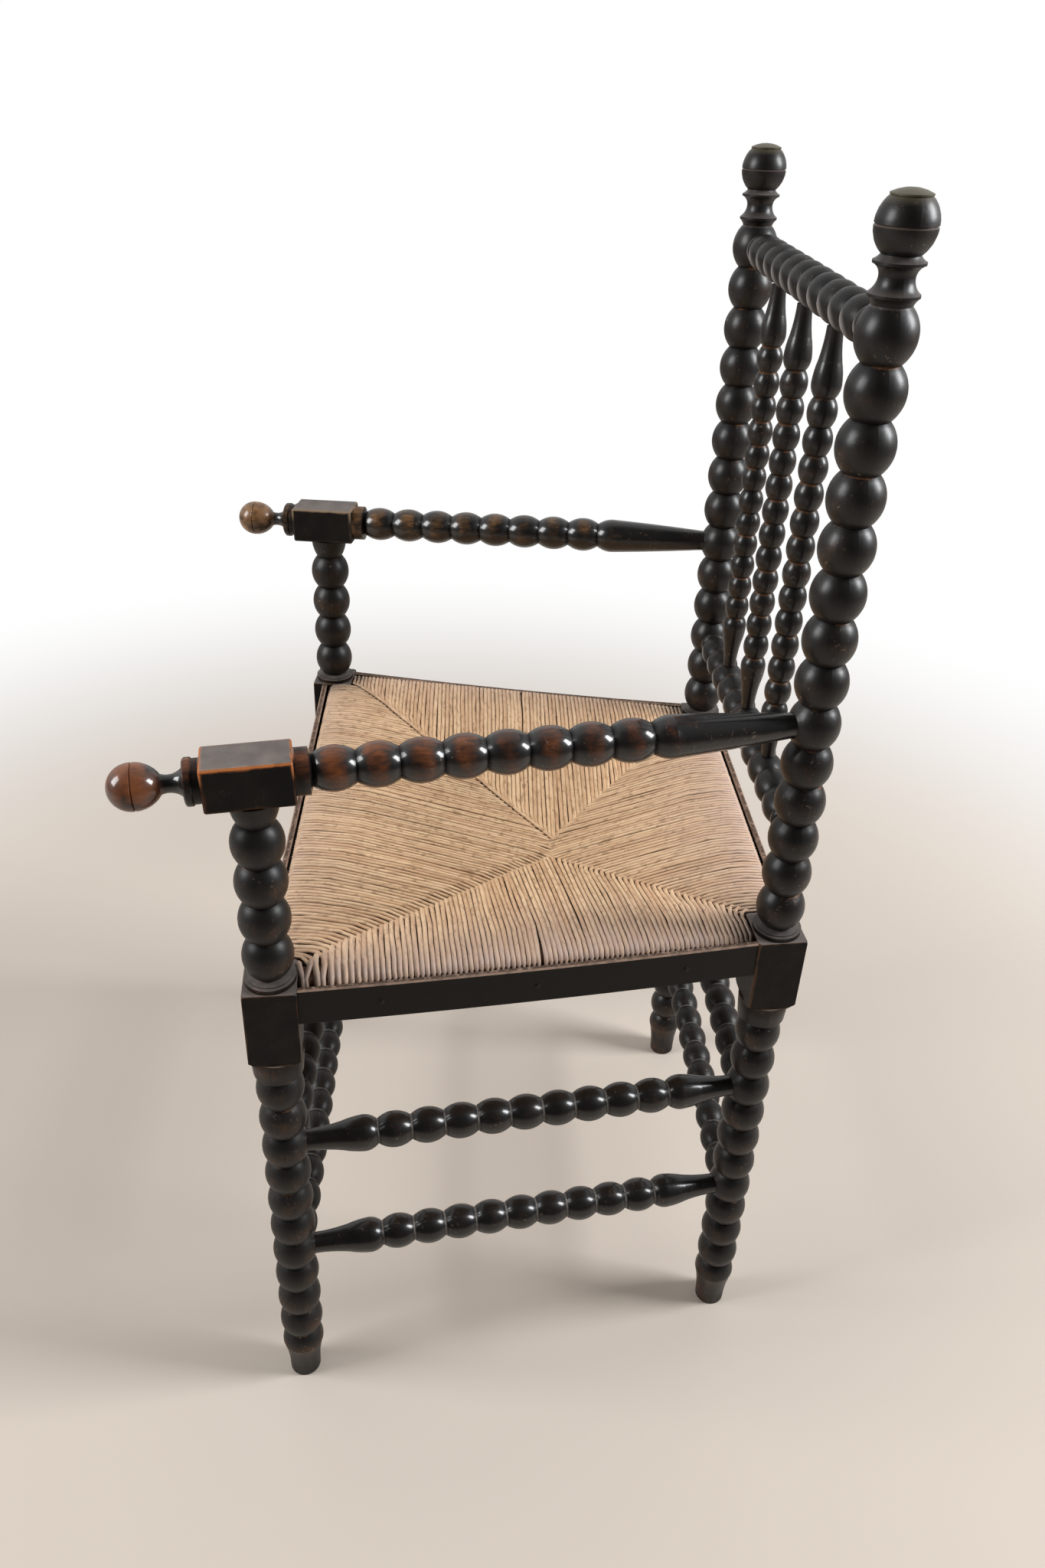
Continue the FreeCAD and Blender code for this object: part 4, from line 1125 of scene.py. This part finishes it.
def soft_room(name):
    """Room that is white to the camera, lit by the pale wall behind and dark on the camera's side."""
    to_wall = (-1.0, 0.0, 0.1)
    world = bpy.data.worlds.new(name)
    put = empty_tree(world)
    way = put("TexCoord", output="Generated")
    wall = put("VectorMath", {0: way, 1: to_wall}, "Value", operation="DOT_PRODUCT")
    lit = put("MapRange", {
        "Value": wall, "From Min": -0.3, "From Max": 0.5, "To Min": 0.06, "To Max": 0.8},
        interpolation_type="SMOOTHSTEP")
    camera = put("LightPath", output="Is Camera Ray")
    strength = put("Math", {0: lit, 1: camera}, operation="MAXIMUM")
    room = put("Background", {"Color": (1, 1, 1, 1), "Strength": strength})
    put("OutputWorld", {"Surface": room})
    return world


def add_window(name, place, target, width, height, watts, colour):
    """Soft rectangular light that faces a point."""
    bpy.ops.object.light_add(type="AREA", location=place)
    lamp = bpy.context.object
    lamp.name = name
    lamp.rotation_euler = (Vector(target) - Vector(place)).to_track_quat("-Z", "Y").to_euler()
    lamp.data.shape = "RECTANGLE"
    lamp.data.size = width
    lamp.data.size_y = height
    lamp.data.energy = watts
    lamp.data.color = colour


def add_camera(stage):
    """Camera at the photograph's place, tilt, turn and roll."""
    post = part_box("front_left_post")
    front_line = (post[0].y + post[1].y) / 2
    forward = Vector((
        -math.cos(stage.pitch) * math.cos(stage.yaw),
        math.cos(stage.pitch) * math.sin(stage.yaw),
        -math.sin(stage.pitch)))
    right = forward.cross(UP).normalized()
    right.rotate(Matrix.Rotation(-stage.roll, 3, forward))
    above = right.cross(forward)
    bpy.ops.object.camera_add()
    camera = bpy.context.object
    turned = Matrix((right, above, -forward)).transposed().to_4x4()
    camera.matrix_world = Matrix.Translation(Vector(stage.eye) + Vector((0, front_line, 0))) @ turned
    camera.data.lens = stage.lens
    camera.data.sensor_width = 36.0
    camera.data.clip_start = 0.01
    camera.data.clip_end = 200.0
    return camera


class BOBBIN_OT_stage(bpy.types.Operator):
    """Sets a pale floor, soft window light and the camera"""
    bl_idname = "bobbin.stage"
    bl_label = "Set stage"
    bl_options = {"REGISTER", "UNDO"}

    def execute(self, context):
        bpy.ops.object.select_all(action="DESELECT")
        bpy.ops.mesh.primitive_circle_add(vertices=96, radius=60.0, fill_type="NGON", location=(0, 0, 0))
        floor = context.object
        floor.name = "floor"
        dress(floor, make_material("pale_screed", floor_finish))
        middle = (0.0, 0.0, 0.5)
        add_window("right_window", (0.25, 2.3, 1.9), middle, width=0.85, height=1.15, watts=98.0,
                   colour=(0.96, 0.98, 1.0))
        add_window("left_window", (0.45, -2.3, 1.75), middle, width=1.1, height=1.3, watts=68.0,
                   colour=(0.98, 0.99, 1.0))
        context.scene.world = soft_room("soft_room")
        context.scene.camera = add_camera(context.scene.stage)
        context.scene.view_settings.view_transform = "Standard"
        return {"FINISHED"}


class BOBBIN_PT_sidebar(bpy.types.Panel):
    """Lists the steps that finish the chair"""
    bl_idname = "BOBBIN_PT_sidebar"
    bl_label = "Bobbin armchair"
    bl_space_type = "VIEW_3D"
    bl_region_type = "UI"
    bl_category = "Bobbin Chair"

    def draw(self, context):
        for operator in operators:
            self.layout.operator(operator.bl_idname)


operators = (
    BOBBIN_OT_posts,
    BOBBIN_OT_arms,
    BOBBIN_OT_stretchers,
    BOBBIN_OT_back,
    BOBBIN_OT_edging,
    BOBBIN_OT_rush,
    BOBBIN_OT_stage,
)
settings = (
    ("turned_wood", TurnedWoodSettings),
    ("edging", EdgingSettings),
    ("rush", RushSettings),
    ("stage", StageSettings),
)


def register():
    for name, group in settings:
        bpy.utils.register_class(group)
        setattr(bpy.types.Scene, name, bpy.props.PointerProperty(type=group))
    for group in operators + (BOBBIN_PT_sidebar,):
        bpy.utils.register_class(group)


def unregister():
    for group in reversed(operators + (BOBBIN_PT_sidebar,)):
        bpy.utils.unregister_class(group)
    for name, group in reversed(settings):
        delattr(bpy.types.Scene, name)
        bpy.utils.unregister_class(group)


def main():
    register()
    bpy.ops.bobbin.posts()
    bpy.ops.bobbin.arms()
    bpy.ops.bobbin.stretchers()
    bpy.ops.bobbin.back()
    bpy.ops.bobbin.edging()
    bpy.ops.bobbin.rush()
    bpy.ops.bobbin.stage()


if __name__ == "__main__":
    main()
